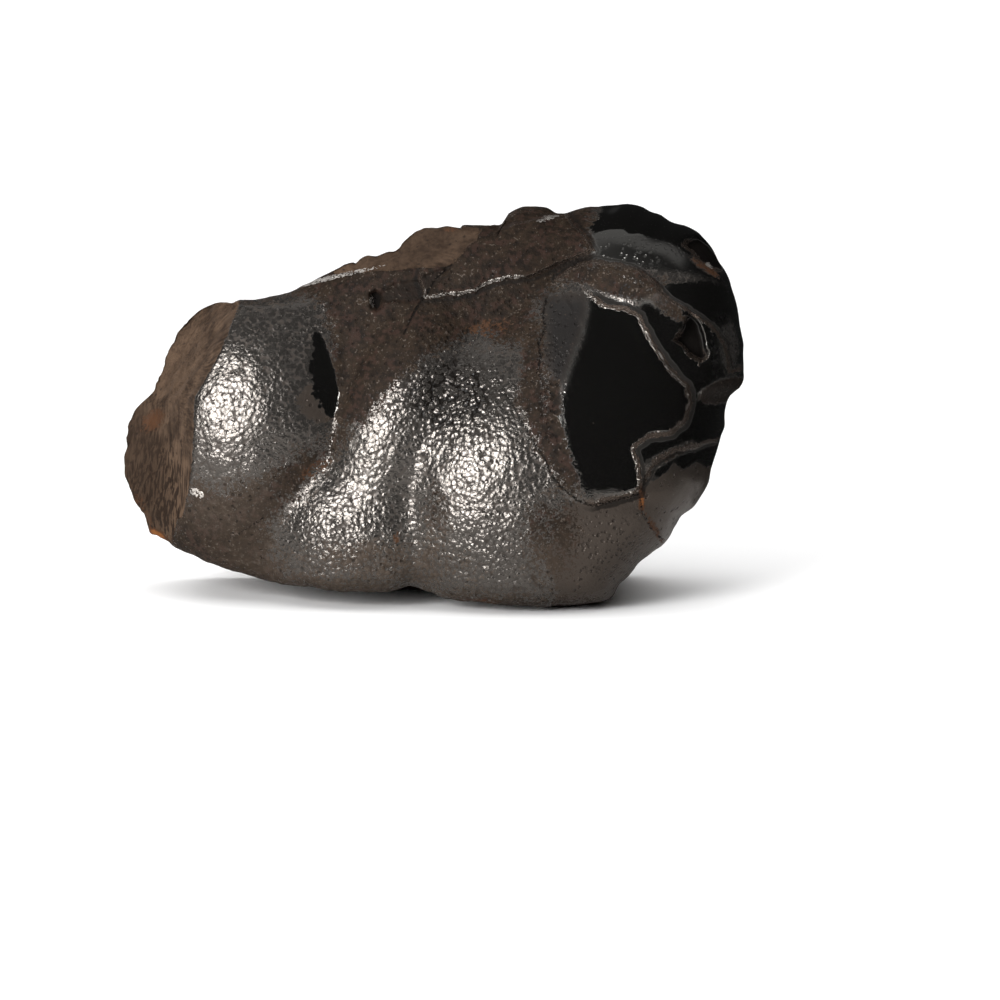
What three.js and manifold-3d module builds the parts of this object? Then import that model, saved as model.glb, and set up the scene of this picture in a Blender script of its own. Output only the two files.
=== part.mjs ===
// Botryoidal goethite: one broken hand specimen, standing on a flat broken edge.
//
// Lengths are millimetres. The stone is drawn in a face frame: u runs right and v runs up
// across the broad botryoidal face, and n comes out of it. The face leans back by LEAN when
// the stone stands, so the last step turns the face frame upright and cuts the flat base.

import * as THREE from 'three';
import { mergeVertices } from 'three/addons/utils/BufferGeometryUtils.js';
import Module from 'manifold-3d';

const wasm = await Module();
wasm.setup();

// ---- Driving dimensions -------------------------------------------------------------

// How the stone stands: its lean, and how far its middle lies above the cut foot.
const LEAN = THREE.MathUtils.degToRad(8);
const MIDDLE_HEIGHT = 31.1;

// The back: its deepest level, and how round it is (1 is a ball, 0 a straight wall).
const BACK_LEVEL = -30;
const BACK_ROUNDING = 0.38;
const FOOT_ROUNDING = 0.06;
const FOOT_DIRECTION = THREE.MathUtils.degToRad(256);

// Facets: quads along one side of the ball that becomes the stone, and how much closer
// together they lie on the face than on the back.
const MESH_STEPS = 23;
const FACE_SHARE = 0.35;
const RIM_CURVE_STEPS = 8;

// How softly two lobes meet, and where a lobe's round top turns into a straight flank.
const LOBE_BLEND = 0.75;
const CAP_LIMIT = 0.86;

// Growth layers: how proud each stands, and how wide a strip thins out at the rim.
const LAYER_RISE = 0.9;
const PLATE_RISE = 1.2;
const SHELL_LEFT = 14.2;
const SHELL_RIGHT = 42.8;
const SHELL_RISE_LEFT = 0.3;
const SHELL_RISE_RIGHT = 1.9;
const RIM_FADE = 1.5;

// Hollows.
const PIT_DEPTH = 3;
const CHIP_DEPTH = 1.8;
const BACK_PEAK_DROP = 7;

// Levels for cutters: one well outside the stone, one well inside it.
const FAR = 60;
const INSIDE = -15;

// The edge of the stone seen square on to its face, counterclockwise from the left tip.
const OUTLINE = [
  [-52.9, -7.1], [-52.6, -10.8], [-51.6, -14.5], [-49.6, -17.8], [-47.9, -21.6],
  [-40.6, -24.5], [-33.8, -27.2], [-27.9, -28.9], [-21.1, -29.9], [-15.2, -30.6],
  [-7.1, -30.4], [-4.1, -29.6], [-0.8, -30.8], [3.4, -32.1], [9.3, -32.5], [16.1, -33.1],
  [22.8, -32.6], [28.4, -32.0], [31.3, -29.3], [35.5, -24.9], [38.7, -22.3],
  [40.9, -18.8], [44.7, -15.2], [47.4, -8.5], [49.0, -3.4], [49.7, 1.9], [52.0, 4.2],
  [52.4, 6.8], [52.1, 11.0], [51.4, 16.9], [50.1, 21.3], [48.5, 25.0], [46.5, 28.2],
  [43.5, 30.9], [40.1, 31.8], [37.2, 33.7], [33.0, 35.0], [26.2, 34.5], [21.6, 33.7],
  [18.1, 34.8], [14.7, 34.5], [12.2, 33.3], [10.8, 31.3], [5.9, 31.1], [0.8, 31.5],
  [-4.6, 29.8], [-7.3, 27.2], [-14.4, 25.0], [-18.9, 22.7], [-24.2, 20.1],
  [-29.3, 18.8], [-34.3, 18.6], [-39.1, 17.9], [-42.4, 15.4], [-45.1, 11.3],
  [-46.5, 7.4], [-48.6, 3.2], [-51.2, 0.5], [-52.4, -2.5],
];

// Rounded lobes of the face: centre, half sizes along and across, turn in degrees, the
// height of the top and how far the flanks fall before they run straight.
const LOBES = [
  { name: 'swell', centre: [0.8, 0], half: [71, 54], turn: 12, top: 15.5, fall: 34 },
  { name: 'left', centre: [-26.4, -3], half: [24.5, 29], turn: 0, top: 17.6, fall: 17.8 },
  { name: 'low', centre: [-9.8, -21.4], half: [19, 18.6], turn: 0, top: 20.2, fall: 13 },
  { name: 'bridge', centre: [-5.2, -5.1], half: [12.8, 23], turn: -14, top: 20.6, fall: 9 },
  { name: 'middle', centre: [15.8, -14.6], half: [26.4, 31.6], turn: 0, top: 26.2, fall: 20 },
  { name: 'great', centre: [24.6, -9.8], half: [28, 35.5], turn: 0, top: 26, fall: 26 },
  { name: 'foot', centre: [26.5, -16.9], half: [25.4, 20.3], turn: -10, top: 22, fall: 21 },
  { name: 'corner', centre: [38.7, -10.8], half: [14.4, 14.4], turn: 0, top: 18.5, fall: 14 },
  { name: 'crown', centre: [37, 12], half: [22, 24], turn: 10, top: 18.6, fall: 17 },
  { name: 'brow', centre: [11, 18.6], half: [28.7, 15.2], turn: 8, top: 14, fall: 13 },
];

// How the face rolls over to the rim: direction in degrees from +u, the width of the roll
// and how far back it goes.
const ROLLS = [
  [0, 10, 14], [45, 9, 13], [62, 5, 6], [80, 3, 3], [110, 4, 4], [140, 5, 5],
  [165, 1, 1], [200, 1, 1], [220, 2, 2], [240, 3, 3], [265, 4, 4], [290, 4, 4],
  [308, 5, 6], [335, 8, 11], [360, 10, 14],
];

// Outer growth layers that are left on the face, each ending at a broken edge.
const SHELL_EDGE = [
  [20.5, 21.8], [23.3, 21.5], [26.2, 19.1], [28.7, 17.1], [31.6, 16.9], [34.2, 15.6],
  [35.7, 12.2], [38, 8.8], [40.1, 5.7], [42.3, 3.7], [42.8, 1], [41.9, -2], [39.4, -4.1],
  [35.5, -4.6], [33.1, -6.6], [34, -9.5], [34.3, -13.9], [30.4, -14.9], [26.2, -16.1],
  [23.3, -15], [21.1, -12.2], [19.4, -9.5], [17.2, -7.1], [15.4, -3.7], [14.2, -0.3],
  [15, 4.1], [16.2, 10.1], [17.8, 15.2],
];
const LAYER_EDGE = [
  [34.3, -14], [35, -11.8], [36.4, -9.6], [38, -7.9], [40.6, -6.9], [43.5, -6.3],
  [46.8, -5.1], [56, -3.4], [56, 7.6], [49.5, 6.4], [48.7, 11], [46.3, 13.9], [44, 15.4],
  [41.6, 17.1], [39.2, 18.3], [37, 20.8], [34.5, 23], [31.3, 24.2], [26.9, 24.9],
  [23.7, 24], [20.5, 21.8], [27, 9], [31, -5],
];
const PLATE_EDGE = [
  [-1.5, 18.9], [1, 19.1], [4.7, 19.6], [6.9, 20.1], [8.3, 21.1], [12.3, 22.2],
  [15.7, 22.3], [19.8, 24], [22.3, 25.4], [26.7, 26.7], [25.2, 29.1], [23, 31.5],
  [22.2, 33.1], [21.1, 38], [5.9, 38], [-0.8, 27.1], [-2.5, 22],
];

// Hollows chipped into the face.
const PIT_EDGE = [
  [40.1, 11.7], [41.4, 12.9], [42.1, 14.2], [42.8, 15.9], [44.3, 14.2], [45.1, 11.8],
  [45.7, 8.8], [44.5, 7.9], [43.1, 9.1], [41.9, 10.1],
];
const NOTCH_EDGE = [
  [41.9, 27.7], [43.1, 28.7], [44.3, 29.1], [46.5, 27.9], [48.2, 25.7], [49.2, 23.5],
  [46.8, 23.7], [44.8, 24.9], [43.3, 26.4],
];
const CHIP_EDGE = [
  [-10.7, 19.4], [-10, 20], [-9.1, 19.3], [-8.9, 17.3], [-9.7, 16.6], [-10.6, 17.2],
];
const BACK_PEAK_EDGE = [
  [10.7, 30.6], [14.4, 31.6], [18.6, 32.6], [22.3, 33.7], [23.7, 39], [9.3, 39],
];

// The broken left end: an upper and a lower flat that meet at a corner, with a shelf left
// standing at the tip.
const END_CORNER = [-40.4, 1.5, 15];
const END_UPPER_FACING = [-0.9, 0.5, 0.4];
const END_LOWER_FACING = [-0.9, 0, 0.4];
const TIP_POINT = [-46, -6.8, 2.4];
const TIP_FACING = [-0.6, 0.3, 0.75];

// Other flat breaks: a point on each, the way it faces, and the region it is kept to, if any.
const BREAKS = [
  {
    name: 'upper edge',
    point: [2.9, 24.4, 13.5],
    facing: [-0.25, 0.72, 0.62],
    region: [[-17.8, 23.3], [-4.6, 24], [2.9, 24.4], [8.1, 31.3], [8.1, 39], [-17.8, 39]],
  },
  {
    name: 'below the upper edge',
    point: [-3, 17.1, 14.6],
    facing: [-0.12, 0.1, 0.97],
    region: [
      [-10.7, 20.3], [-7.9, 18.6], [-5.6, 17.6], [-3, 16.7], [-1.5, 18.9], [2.9, 24.4],
      [-4.6, 25], [-9.3, 25],
    ],
  },
  { name: 'back left half', point: [-14, -6, -25], facing: [-0.16, -0.06, -0.98] },
  { name: 'back right half', point: [18, -8, -26.5], facing: [0.2, -0.02, -0.98] },
  { name: 'back upper half', point: [4, 12, -24], facing: [0.06, 0.38, -0.92] },
  { name: 'back upper left', point: [-25, 16, -14], facing: [-0.42, 0.62, -0.66] },
  { name: 'back upper right', point: [25, 26, -15], facing: [0.15, 0.72, -0.68] },
  { name: 'back right', point: [44, 0, -22], facing: [0.6, 0, -0.8] },
  { name: 'back left', point: [-44, -5, -20], facing: [-0.7, -0.1, -0.7] },
];

// The back shows the inside of the crust: fibres that spread from where it began to grow.
const FIBRE_CENTRE = [-4, -26];
const FIBRE_GROOVES = 9;
const FIBRE_FAN = THREE.MathUtils.degToRad(140);
const FIBRE_START = 11;
const FIBRE_LENGTH = 14;
const FIBRE_LENGTH_STEP = 2.5;
const FIBRE_RADIUS = 1.8;

// ---- Plain mathematics --------------------------------------------------------------

function clamp01(value) {
  return THREE.MathUtils.clamp(value, 0, 1);
}

// Reads a value from sorted rows whose first entry is the position.
function valueAlong(rows, position, column) {
  const after = Math.max(1, rows.findIndex((row) => row[0] >= position));
  const [low, high] = [rows[after - 1], rows[after]];
  const share = (position - low[0]) / (high[0] - low[0]);
  return THREE.MathUtils.lerp(low[column], high[column], share);
}

function smoothMaximum(heights, blend) {
  const highest = Math.max(...heights);
  const sum = heights.reduce((total, height) => total + Math.exp((height - highest) / blend), 0);
  return highest + blend * Math.log(sum);
}

// ---- The form of the face ------------------------------------------------------------

function rimTable() {
  const knots = OUTLINE.map(([u, v]) => new THREE.Vector3(u, v, 0));
  const curve = new THREE.CatmullRomCurve3(knots, true, 'catmullrom', 0.5);
  const points = curve.getPoints(knots.length * RIM_CURVE_STEPS).slice(0, -1);
  const rows = points.map((point) => [Math.atan2(point.y, point.x), point.length()]);
  rows.sort((one, other) => one[0] - other[0]);
  const [first, last] = [rows[0], rows[rows.length - 1]];
  const before = [last[0] - 2 * Math.PI, last[1]];
  const after = [first[0] + 2 * Math.PI, first[1]];
  return [before, ...rows, after];
}

const RIM = rimTable();

function rimRadius(angle) {
  return valueAlong(RIM, angle, 1);
}

function lobeHeight(lobe, u, v) {
  const turn = THREE.MathUtils.degToRad(lobe.turn);
  const du = u - lobe.centre[0];
  const dv = v - lobe.centre[1];
  const along = (du * Math.cos(turn) + dv * Math.sin(turn)) / lobe.half[0];
  const across = (dv * Math.cos(turn) - du * Math.sin(turn)) / lobe.half[1];
  const reach = Math.hypot(along, across);
  const round = Math.min(reach, CAP_LIMIT);
  const slope = CAP_LIMIT / Math.sqrt(1 - CAP_LIMIT ** 2);
  const drop = 1 - Math.sqrt(1 - round ** 2) + slope * (reach - round);
  return lobe.top - lobe.fall * drop;
}

function rollDrop(angle, inward) {
  const degrees = THREE.MathUtils.euclideanModulo(THREE.MathUtils.radToDeg(angle), 360);
  const width = valueAlong(ROLLS, degrees, 1);
  const depth = valueAlong(ROLLS, degrees, 2);
  const share = clamp01(1 - inward / width);
  return depth * (1 - Math.sqrt(1 - share ** 2));
}

// Height of the face at a place; inward is how far that place lies inside the rim.
function faceHeight(u, v, angle, inward) {
  const heights = LOBES.map((lobe) => lobeHeight(lobe, u, v));
  return smoothMaximum(heights, LOBE_BLEND) - rollDrop(angle, inward);
}

// ---- Solids ---------------------------------------------------------------------------

function solidOf(geometry) {
  geometry.deleteAttribute('normal');
  geometry.deleteAttribute('uv');
  const merged = mergeVertices(geometry, 1e-5);
  const vertProperties = Float32Array.from(merged.attributes.position.array);
  const triVerts = Uint32Array.from(merged.index.array);
  return new wasm.Manifold(new wasm.Mesh({ numProp: 3, vertProperties, triVerts }));
}

// A ball of even quads, as directions from its middle.
function evenBall() {
  const box = new THREE.BoxGeometry(2, 2, 2, MESH_STEPS, MESH_STEPS, MESH_STEPS);
  box.deleteAttribute('normal');
  box.deleteAttribute('uv');
  const ball = mergeVertices(box, 1e-4);
  const places = ball.attributes.position;
  const direction = new THREE.Vector3();
  for (let i = 0; i < places.count; i += 1) {
    direction.fromBufferAttribute(places, i);
    direction.set(
      Math.tan(direction.x * Math.PI / 4),
      Math.tan(direction.y * Math.PI / 4),
      Math.tan(direction.z * Math.PI / 4),
    );
    direction.normalize();
    places.setXYZ(i, direction.x, direction.y, direction.z);
  }
  return ball;
}

// How round the back is in a direction: the foot stays nearly square, so that the stone
// has a broad flat edge to stand on.
function backRounding(angle) {
  const share = clamp01(2 * Math.cos(angle - FOOT_DIRECTION));
  return THREE.MathUtils.lerp(BACK_ROUNDING, FOOT_ROUNDING, share);
}

// The whole stone with its face moved out by lift(u, inward), which may be negative.
function stone(lift) {
  const ball = evenBall();
  const places = ball.attributes.position;
  const direction = new THREE.Vector3();
  for (let i = 0; i < places.count; i += 1) {
    direction.fromBufferAttribute(places, i);
    const angle = Math.atan2(direction.y, direction.x);
    const polar = Math.acos(THREE.MathUtils.clamp(direction.z, -1, 1));
    const bent = polar - FACE_SHARE * Math.sin(polar);
    const forward = Math.cos(bent);
    const isFace = forward >= 0;
    const rim = rimRadius(angle);
    const reach = isFace ? Math.sin(bent) : Math.sin(bent) ** backRounding(angle);
    const u = rim * reach * Math.cos(angle);
    const v = rim * reach * Math.sin(angle);
    if (isFace) {
      const inward = rim * (1 - reach);
      places.setXYZ(i, u, v, faceHeight(u, v, angle, inward) + lift(u, inward));
    } else {
      const [rimU, rimV] = [rim * Math.cos(angle), rim * Math.sin(angle)];
      const rimLevel = faceHeight(rimU, rimV, angle, 0) + lift(rimU, 0);
      places.setXYZ(i, u, v, THREE.MathUtils.lerp(rimLevel, BACK_LEVEL, -forward));
    }
  }
  return solidOf(ball);
}

// An upright wall on an outline, from one level to another.
function prism(outline, low, high) {
  const shape = new THREE.Shape(outline.map(([u, v]) => new THREE.Vector2(u, v)));
  const geometry = new THREE.ExtrudeGeometry(shape, { depth: high - low, bevelEnabled: false });
  geometry.translate(0, 0, low);
  return solidOf(geometry);
}

// Everything in front of a plane.
function beyond(point, facing) {
  const geometry = new THREE.BoxGeometry(4 * FAR, 4 * FAR, 2 * FAR);
  geometry.translate(0, 0, FAR);
  const normal = new THREE.Vector3(...facing).normalize();
  const turn = new THREE.Quaternion().setFromUnitVectors(new THREE.Vector3(0, 0, 1), normal);
  geometry.applyQuaternion(turn);
  geometry.translate(...point);
  return solidOf(geometry);
}

// ---- Growth layers, hollows and breaks --------------------------------------------------

function addLayer(body, outline, rise) {
  const fade = (u, inward) => rise(u) * clamp01(inward / RIM_FADE);
  return body.add(stone(fade).intersect(prism(outline, INSIDE, FAR)));
}

function sinkHollow(body, outline, depth) {
  const above = prism(outline, INSIDE, FAR).subtract(stone(() => -depth));
  return body.subtract(above);
}

function breakEnd(body) {
  const flats = beyond(END_CORNER, END_UPPER_FACING).add(beyond(END_CORNER, END_LOWER_FACING));
  return body.subtract(flats.intersect(beyond(TIP_POINT, TIP_FACING)));
}

function makeBreaks(body) {
  return BREAKS.reduce((left, { point, facing, region }) => {
    const cutter = beyond(point, facing);
    return left.subtract(region ? cutter.intersect(prism(region, -FAR, FAR)) : cutter);
  }, body);
}

function isBack({ facing }) {
  return facing[2] < 0;
}

// Level of the broken back at a place.
function backLevel(u, v) {
  const levels = BREAKS.filter(isBack).map(({ point, facing }) => {
    const slide = facing[0] * (u - point[0]) + facing[1] * (v - point[1]);
    return point[2] - slide / facing[2];
  });
  return Math.max(...levels);
}

function backPlace(fan, reach) {
  const u = FIBRE_CENTRE[0] + reach * Math.sin(fan);
  const v = FIBRE_CENTRE[1] + reach * Math.cos(fan);
  return new THREE.Vector3(u, v, backLevel(u, v));
}

// Grooves between the bundles of fibres on the back, spread like the ribs of a fan.
function fibreGrooves() {
  const grooves = [];
  for (let i = 0; i < FIBRE_GROOVES; i += 1) {
    const fan = FIBRE_FAN * (i / (FIBRE_GROOVES - 1) - 0.5);
    const start = backPlace(fan, FIBRE_START);
    const end = backPlace(fan, FIBRE_START + FIBRE_LENGTH + FIBRE_LENGTH_STEP * (i % 3));
    const run = end.clone().sub(start);
    const groove = new THREE.CylinderGeometry(FIBRE_RADIUS, FIBRE_RADIUS / 3, run.length(), 4);
    const turn = new THREE.Quaternion();
    turn.setFromUnitVectors(new THREE.Vector3(0, 1, 0), run.clone().normalize());
    groove.applyQuaternion(turn);
    groove.translate(...start.addScaledVector(run, 0.5).toArray());
    grooves.push(solidOf(groove));
  }
  return grooves;
}

// ---- The specimen ---------------------------------------------------------------------

function shellRise(u) {
  const share = (u - SHELL_LEFT) / (SHELL_RIGHT - SHELL_LEFT);
  return THREE.MathUtils.lerp(SHELL_RISE_LEFT, SHELL_RISE_RIGHT, share);
}

function carvedStone() {
  let body = stone(() => 0);
  body = addLayer(body, LAYER_EDGE, () => LAYER_RISE);
  body = addLayer(body, SHELL_EDGE, shellRise);
  body = addLayer(body, PLATE_EDGE, () => PLATE_RISE);
  body = sinkHollow(body, PIT_EDGE, PIT_DEPTH);
  body = sinkHollow(body, NOTCH_EDGE, PIT_DEPTH);
  body = sinkHollow(body, CHIP_EDGE, CHIP_DEPTH);
  body = sinkHollow(body, BACK_PEAK_EDGE, BACK_PEAK_DROP);
  body = breakEnd(body);
  body = makeBreaks(body);
  return fibreGrooves().reduce((left, groove) => left.subtract(groove), body);
}

function geometryOf(solid) {
  const mesh = solid.getMesh();
  const geometry = new THREE.BufferGeometry();
  geometry.setAttribute('position', new THREE.BufferAttribute(mesh.vertProperties, 3));
  geometry.setIndex(new THREE.BufferAttribute(mesh.triVerts, 1));
  return geometry;
}

// Turns the face frame upright and cuts the stone off flat where it stands.
function standing(body) {
  const upright = geometryOf(body);
  upright.rotateX(Math.PI / 2 - LEAN);
  upright.translate(0, 0, MIDDLE_HEIGHT);
  const cut = solidOf(upright).subtract(beyond([0, 0, 0], [0, 0, -1]));
  const geometry = geometryOf(cut);
  geometry.computeBoundingBox();
  const middle = geometry.boundingBox.getCenter(new THREE.Vector3());
  geometry.translate(-middle.x, -middle.y, 0);
  return geometry;
}

const goethite = new THREE.Mesh(
  standing(carvedStone()),
  new THREE.MeshStandardMaterial({ color: 0x2b2521, roughness: 0.3, metalness: 0.15 }),
);
goethite.name = 'goethite';

const specimen = new THREE.Group();
specimen.add(goethite);

export default specimen;
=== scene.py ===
"""Looks of a botryoidal goethite specimen: one finely modelled stone, its finish and a studio.

Lengths in the classes below are millimetres. The stone is drawn in a face frame: u runs right
and v up across the broad lobed face, and n comes out of it. The face leans back when the stone
stands, so Stance turns the face frame into the row frame, in metres.
"""

import logging
import math
from collections.abc import Callable
from dataclasses import dataclass, field, replace
from enum import Enum

import bmesh
import bpy
import numpy as np
from mathutils import Matrix, Vector, noise

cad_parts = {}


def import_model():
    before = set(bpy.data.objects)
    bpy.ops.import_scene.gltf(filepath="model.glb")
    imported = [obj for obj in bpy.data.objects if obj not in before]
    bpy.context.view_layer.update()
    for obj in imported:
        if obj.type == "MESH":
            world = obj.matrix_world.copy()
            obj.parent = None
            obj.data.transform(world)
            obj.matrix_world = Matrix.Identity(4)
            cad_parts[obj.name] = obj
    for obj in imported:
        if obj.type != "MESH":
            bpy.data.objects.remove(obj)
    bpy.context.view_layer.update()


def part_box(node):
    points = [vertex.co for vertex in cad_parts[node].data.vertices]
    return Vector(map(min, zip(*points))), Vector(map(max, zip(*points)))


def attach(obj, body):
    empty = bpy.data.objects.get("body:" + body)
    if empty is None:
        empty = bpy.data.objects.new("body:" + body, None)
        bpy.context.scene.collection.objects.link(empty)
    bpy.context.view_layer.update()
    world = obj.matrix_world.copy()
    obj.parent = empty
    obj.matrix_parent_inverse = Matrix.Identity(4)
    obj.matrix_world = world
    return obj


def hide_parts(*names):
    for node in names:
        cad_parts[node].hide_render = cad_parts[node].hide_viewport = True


LOG = logging.getLogger("goethite")
NODE = "goethite"
METRES = 0.001

Array = np.ndarray
Place = tuple[float, float]
Outline = tuple[Place, ...]
Triple = tuple[float, float, float]
Colour = tuple[float, float, float]


# ---- Plain mathematics --------------------


def ease(low: float, high: float, value: Array) -> Array:
    """Smooth step of value from 0 at low to 1 at high."""
    share = np.clip((value - low) / (high - low), 0.0, 1.0)
    return share * share * (3.0 - 2.0 * share)


def soft_maximum(layers: list[Array], blend: float) -> Array:
    """Largest of several heights, rounded where two are nearly level.

    Args:
        layers: heights at the same places.
        blend: how softly two surfaces meet, in mm.

    Returns:
        The blended height at each place.
    """
    stack = np.stack(layers)
    highest = stack.max(axis=0)
    return highest + blend * np.log(np.exp((stack - highest) / blend).sum(axis=0))


def soft_minimum(one: Array, other: Array, blend: float) -> Array:
    """Smaller of two heights, rounded where they are nearly level."""
    share = np.clip(0.5 + 0.5 * (other - one) / blend, 0.0, 1.0)
    return other * (1 - share) + one * share - blend * share * (1 - share)


def distance_to_path(u: Array, v: Array, path: Outline, closed: bool) -> Array:
    """Distance from each place to a path of straight runs.

    Args:
        u, v: places on the face.
        path: corners of the path.
        closed: whether the last corner joins the first.

    Returns:
        The unsigned distance in mm.
    """
    ends = path[1:] + path[:1] if closed else path[1:]
    nearest = np.full(u.shape, np.inf)
    for (u0, v0), (u1, v1) in zip(path, ends):
        run_u, run_v = u1 - u0, v1 - v0
        length = run_u * run_u + run_v * run_v
        share = np.clip(((u - u0) * run_u + (v - v0) * run_v) / length, 0.0, 1.0)
        away = np.hypot(u - u0 - share * run_u, v - v0 - share * run_v)
        nearest = np.minimum(nearest, away)
    return nearest


def depth_inside(u: Array, v: Array, outline: Outline) -> Array:
    """Distance inside a closed outline; places outside it are negative."""
    inside = np.zeros(u.shape, bool)
    for (u0, v0), (u1, v1) in zip(outline, outline[1:] + outline[:1]):
        if v0 == v1:
            continue
        crosses = (v0 > v) != (v1 > v)
        inside ^= crosses & (u < u0 + (v - v0) * (u1 - u0) / (v1 - v0))
    away = distance_to_path(u, v, outline, closed=True)
    return np.where(inside, away, -away)


def grain(points: Array, size: float, seed: float, octaves: int = 1) -> Array:
    """Smooth noise from about -1 to 1 whose features are about size across.

    Args:
        points: rows of three coordinates.
        size: width of the largest features, in the units of points.
        seed: shifts the pattern, so that two calls differ.
        octaves: how many finer copies are added, each half as strong.

    Returns:
        One value for each point.
    """
    total = np.zeros(len(points))
    for octave in range(octaves):
        rows = (points * (2**octave / size) + seed + 7.3 * octave).tolist()
        total += 0.5**octave * np.array([noise.noise(row) for row in rows])
    return total


def pebble_height(points: Array, size: float, seed: float) -> Array:
    """Height of close-packed round bumps, 1 on their tops and about 0 between them."""
    rows = (points / size + seed).tolist()
    nearest = np.array([noise.voronoi(row)[0][0] for row in rows])
    return np.clip(1.0 - (nearest / 0.75) ** 2, 0.0, 1.0)


# ---- The form of the stone --------------------


@dataclass(frozen=True)
class Oval:
    """An oval on the face: its middle, its half sizes and its turn in degrees."""

    centre: Place
    half: Place
    turn: float

    def reach(self, u: Array, v: Array) -> Array:
        """Distance from the middle of the oval to each place, 1 on its edge."""
        turn = math.radians(self.turn)
        du, dv = u - self.centre[0], v - self.centre[1]
        along = (du * math.cos(turn) + dv * math.sin(turn)) / self.half[0]
        across = (dv * math.cos(turn) - du * math.sin(turn)) / self.half[1]
        return np.hypot(along, across)


@dataclass(frozen=True)
class Lobe:
    """A rounded lobe of the face, round on top and straight further down its flanks."""

    name: str
    oval: Oval
    top: float
    fall: float
    round_share: float = 0.86

    def height(self, u: Array, v: Array) -> Array:
        """Height of the lobe at each place."""
        reach = self.oval.reach(u, v)
        curved = np.minimum(reach, self.round_share)
        slope = self.round_share / math.sqrt(1 - self.round_share**2)
        drop = 1 - np.sqrt(1 - curved**2) + slope * (reach - curved)
        return self.top - self.fall * drop


@dataclass(frozen=True)
class Flat:
    """A flat break: a point on it and the way it faces, both as (u, v, n)."""

    point: Triple
    facing: Triple

    def level(self, u: Array, v: Array) -> Array:
        """The n at which the flat lies over each place."""
        slide = self.facing[0] * (u - self.point[0]) + self.facing[1] * (v - self.point[1])
        return self.point[2] - slide / self.facing[2]

    def unit(self) -> Array:
        """Unit vector the way the flat faces."""
        facing = np.array(self.facing)
        return facing / np.linalg.norm(facing)

    def clip(self, points: Array, core: Array) -> tuple[Array, Array]:
        """Draws points beyond the flat back onto it, straight towards the core.

        Args:
            points: rows of (u, v, n).
            core: a point inside the stone.

        Returns:
            The new points, and a mask of the ones that moved.
        """
        facing = self.unit()
        room = float(facing @ (np.array(self.point) - core))
        reach = (points - core) @ facing
        beyond = reach > room
        share = np.where(beyond, room / np.where(beyond, reach, 1.0), 1.0)
        return core + (points - core) * share[:, None], beyond


@dataclass(frozen=True)
class Layer:
    """What is left of a growth layer: its broken edge and how proud it stands."""

    edge: Outline
    rise: tuple[float, float]
    between: tuple[float, float] = (0.0, 1.0)
    bevel: float = 0.8

    def height(self, u: Array, inside: Array) -> Array:
        """Rise of the layer, given how far inside its edge each place lies."""
        share = np.clip((u - self.between[0]) / (self.between[1] - self.between[0]), 0, 1)
        rise = self.rise[0] + (self.rise[1] - self.rise[0]) * share
        return rise * ease(-self.bevel / 2, self.bevel / 2, inside)


@dataclass(frozen=True)
class Hollow:
    """A place where a piece has come away."""

    edge: Outline
    depth: float
    bevel: float


RIM_KNOTS: Outline = (
    (-52.9, -7.1), (-52.6, -10.8), (-51.6, -14.5), (-49.6, -17.8), (-47.9, -21.6), (-40.6, -24.5),
    (-33.8, -27.2), (-27.9, -28.9), (-21.1, -29.9), (-15.2, -30.6), (-7.1, -30.4), (-4.1, -29.6),
    (-0.8, -30.8), (3.4, -32.1), (9.3, -32.5), (16.1, -33.1), (22.8, -32.6), (28.4, -32), (31.3, -29.3),
    (35.5, -24.9), (38.7, -22.3), (40.9, -18.8), (44.7, -15.2), (47.4, -8.5), (49, -3.4), (49.7, 1.9),
    (52, 4.2), (52.4, 6.8), (52.1, 11), (51.4, 16.9), (50.1, 21.3), (48.5, 25), (46.5, 28.2),
    (43.5, 30.9), (40.1, 31.8), (37.2, 33.7), (33, 35), (26.2, 34.5), (21.6, 33.7), (18.1, 34.8),
    (14.7, 34.5), (12.2, 33.3), (10.8, 31.3), (5.9, 31.1), (0.8, 31.5), (-4.6, 29.8), (-7.3, 27.2),
    (-14.4, 25), (-18.9, 22.7), (-24.2, 20.1), (-29.3, 18.8), (-34.3, 18.6), (-39.1, 17.9),
    (-42.4, 15.4), (-45.1, 11.3), (-46.5, 7.4), (-48.6, 3.2), (-51.2, 0.5), (-52.4, -2.5),
)
SHELL_EDGE: Outline = (
    (20.5, 21.8), (23.3, 21.5), (26.2, 19.1), (28.7, 17.1), (31.6, 16.9), (34.2, 15.6), (35.7, 12.2),
    (38, 8.8), (40.1, 5.7), (42.3, 3.7), (42.8, 1), (41.9, -2), (39.4, -4.1), (35.5, -4.6),
    (33.1, -6.6), (34, -9.5), (34.3, -13.9), (30.4, -14.9), (26.2, -16.1), (23.3, -15), (21.1, -12.2),
    (19.4, -9.5), (17.2, -7.1), (15.4, -3.7), (14.2, -0.3), (15, 4.1), (16.2, 10.1), (17.8, 15.2),
)
LAYER_EDGE: Outline = (
    (34.3, -14), (35, -11.8), (36.4, -9.6), (38, -7.9), (40.6, -6.9), (43.5, -6.3), (46.8, -5.1),
    (56, -3.4), (56, 7.6), (49.5, 6.4), (48.7, 11), (46.3, 13.9), (44, 15.4), (41.6, 17.1),
    (39.2, 18.3), (37, 20.8), (34.5, 23), (31.3, 24.2), (26.9, 24.9), (23.7, 24), (20.5, 21.8), (27, 9),
    (31, -5),
)
PLATE_EDGE: Outline = (
    (-1.5, 18.9), (1, 19.1), (4.7, 19.6), (6.9, 20.1), (8.3, 21.1), (12.3, 22.2), (15.7, 22.3),
    (19.8, 24), (22.3, 25.4), (26.7, 26.7), (25.2, 29.1), (23, 31.5), (22.2, 33.1), (21.1, 38),
    (5.9, 38), (-0.8, 27.1), (-2.5, 22),
)
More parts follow.
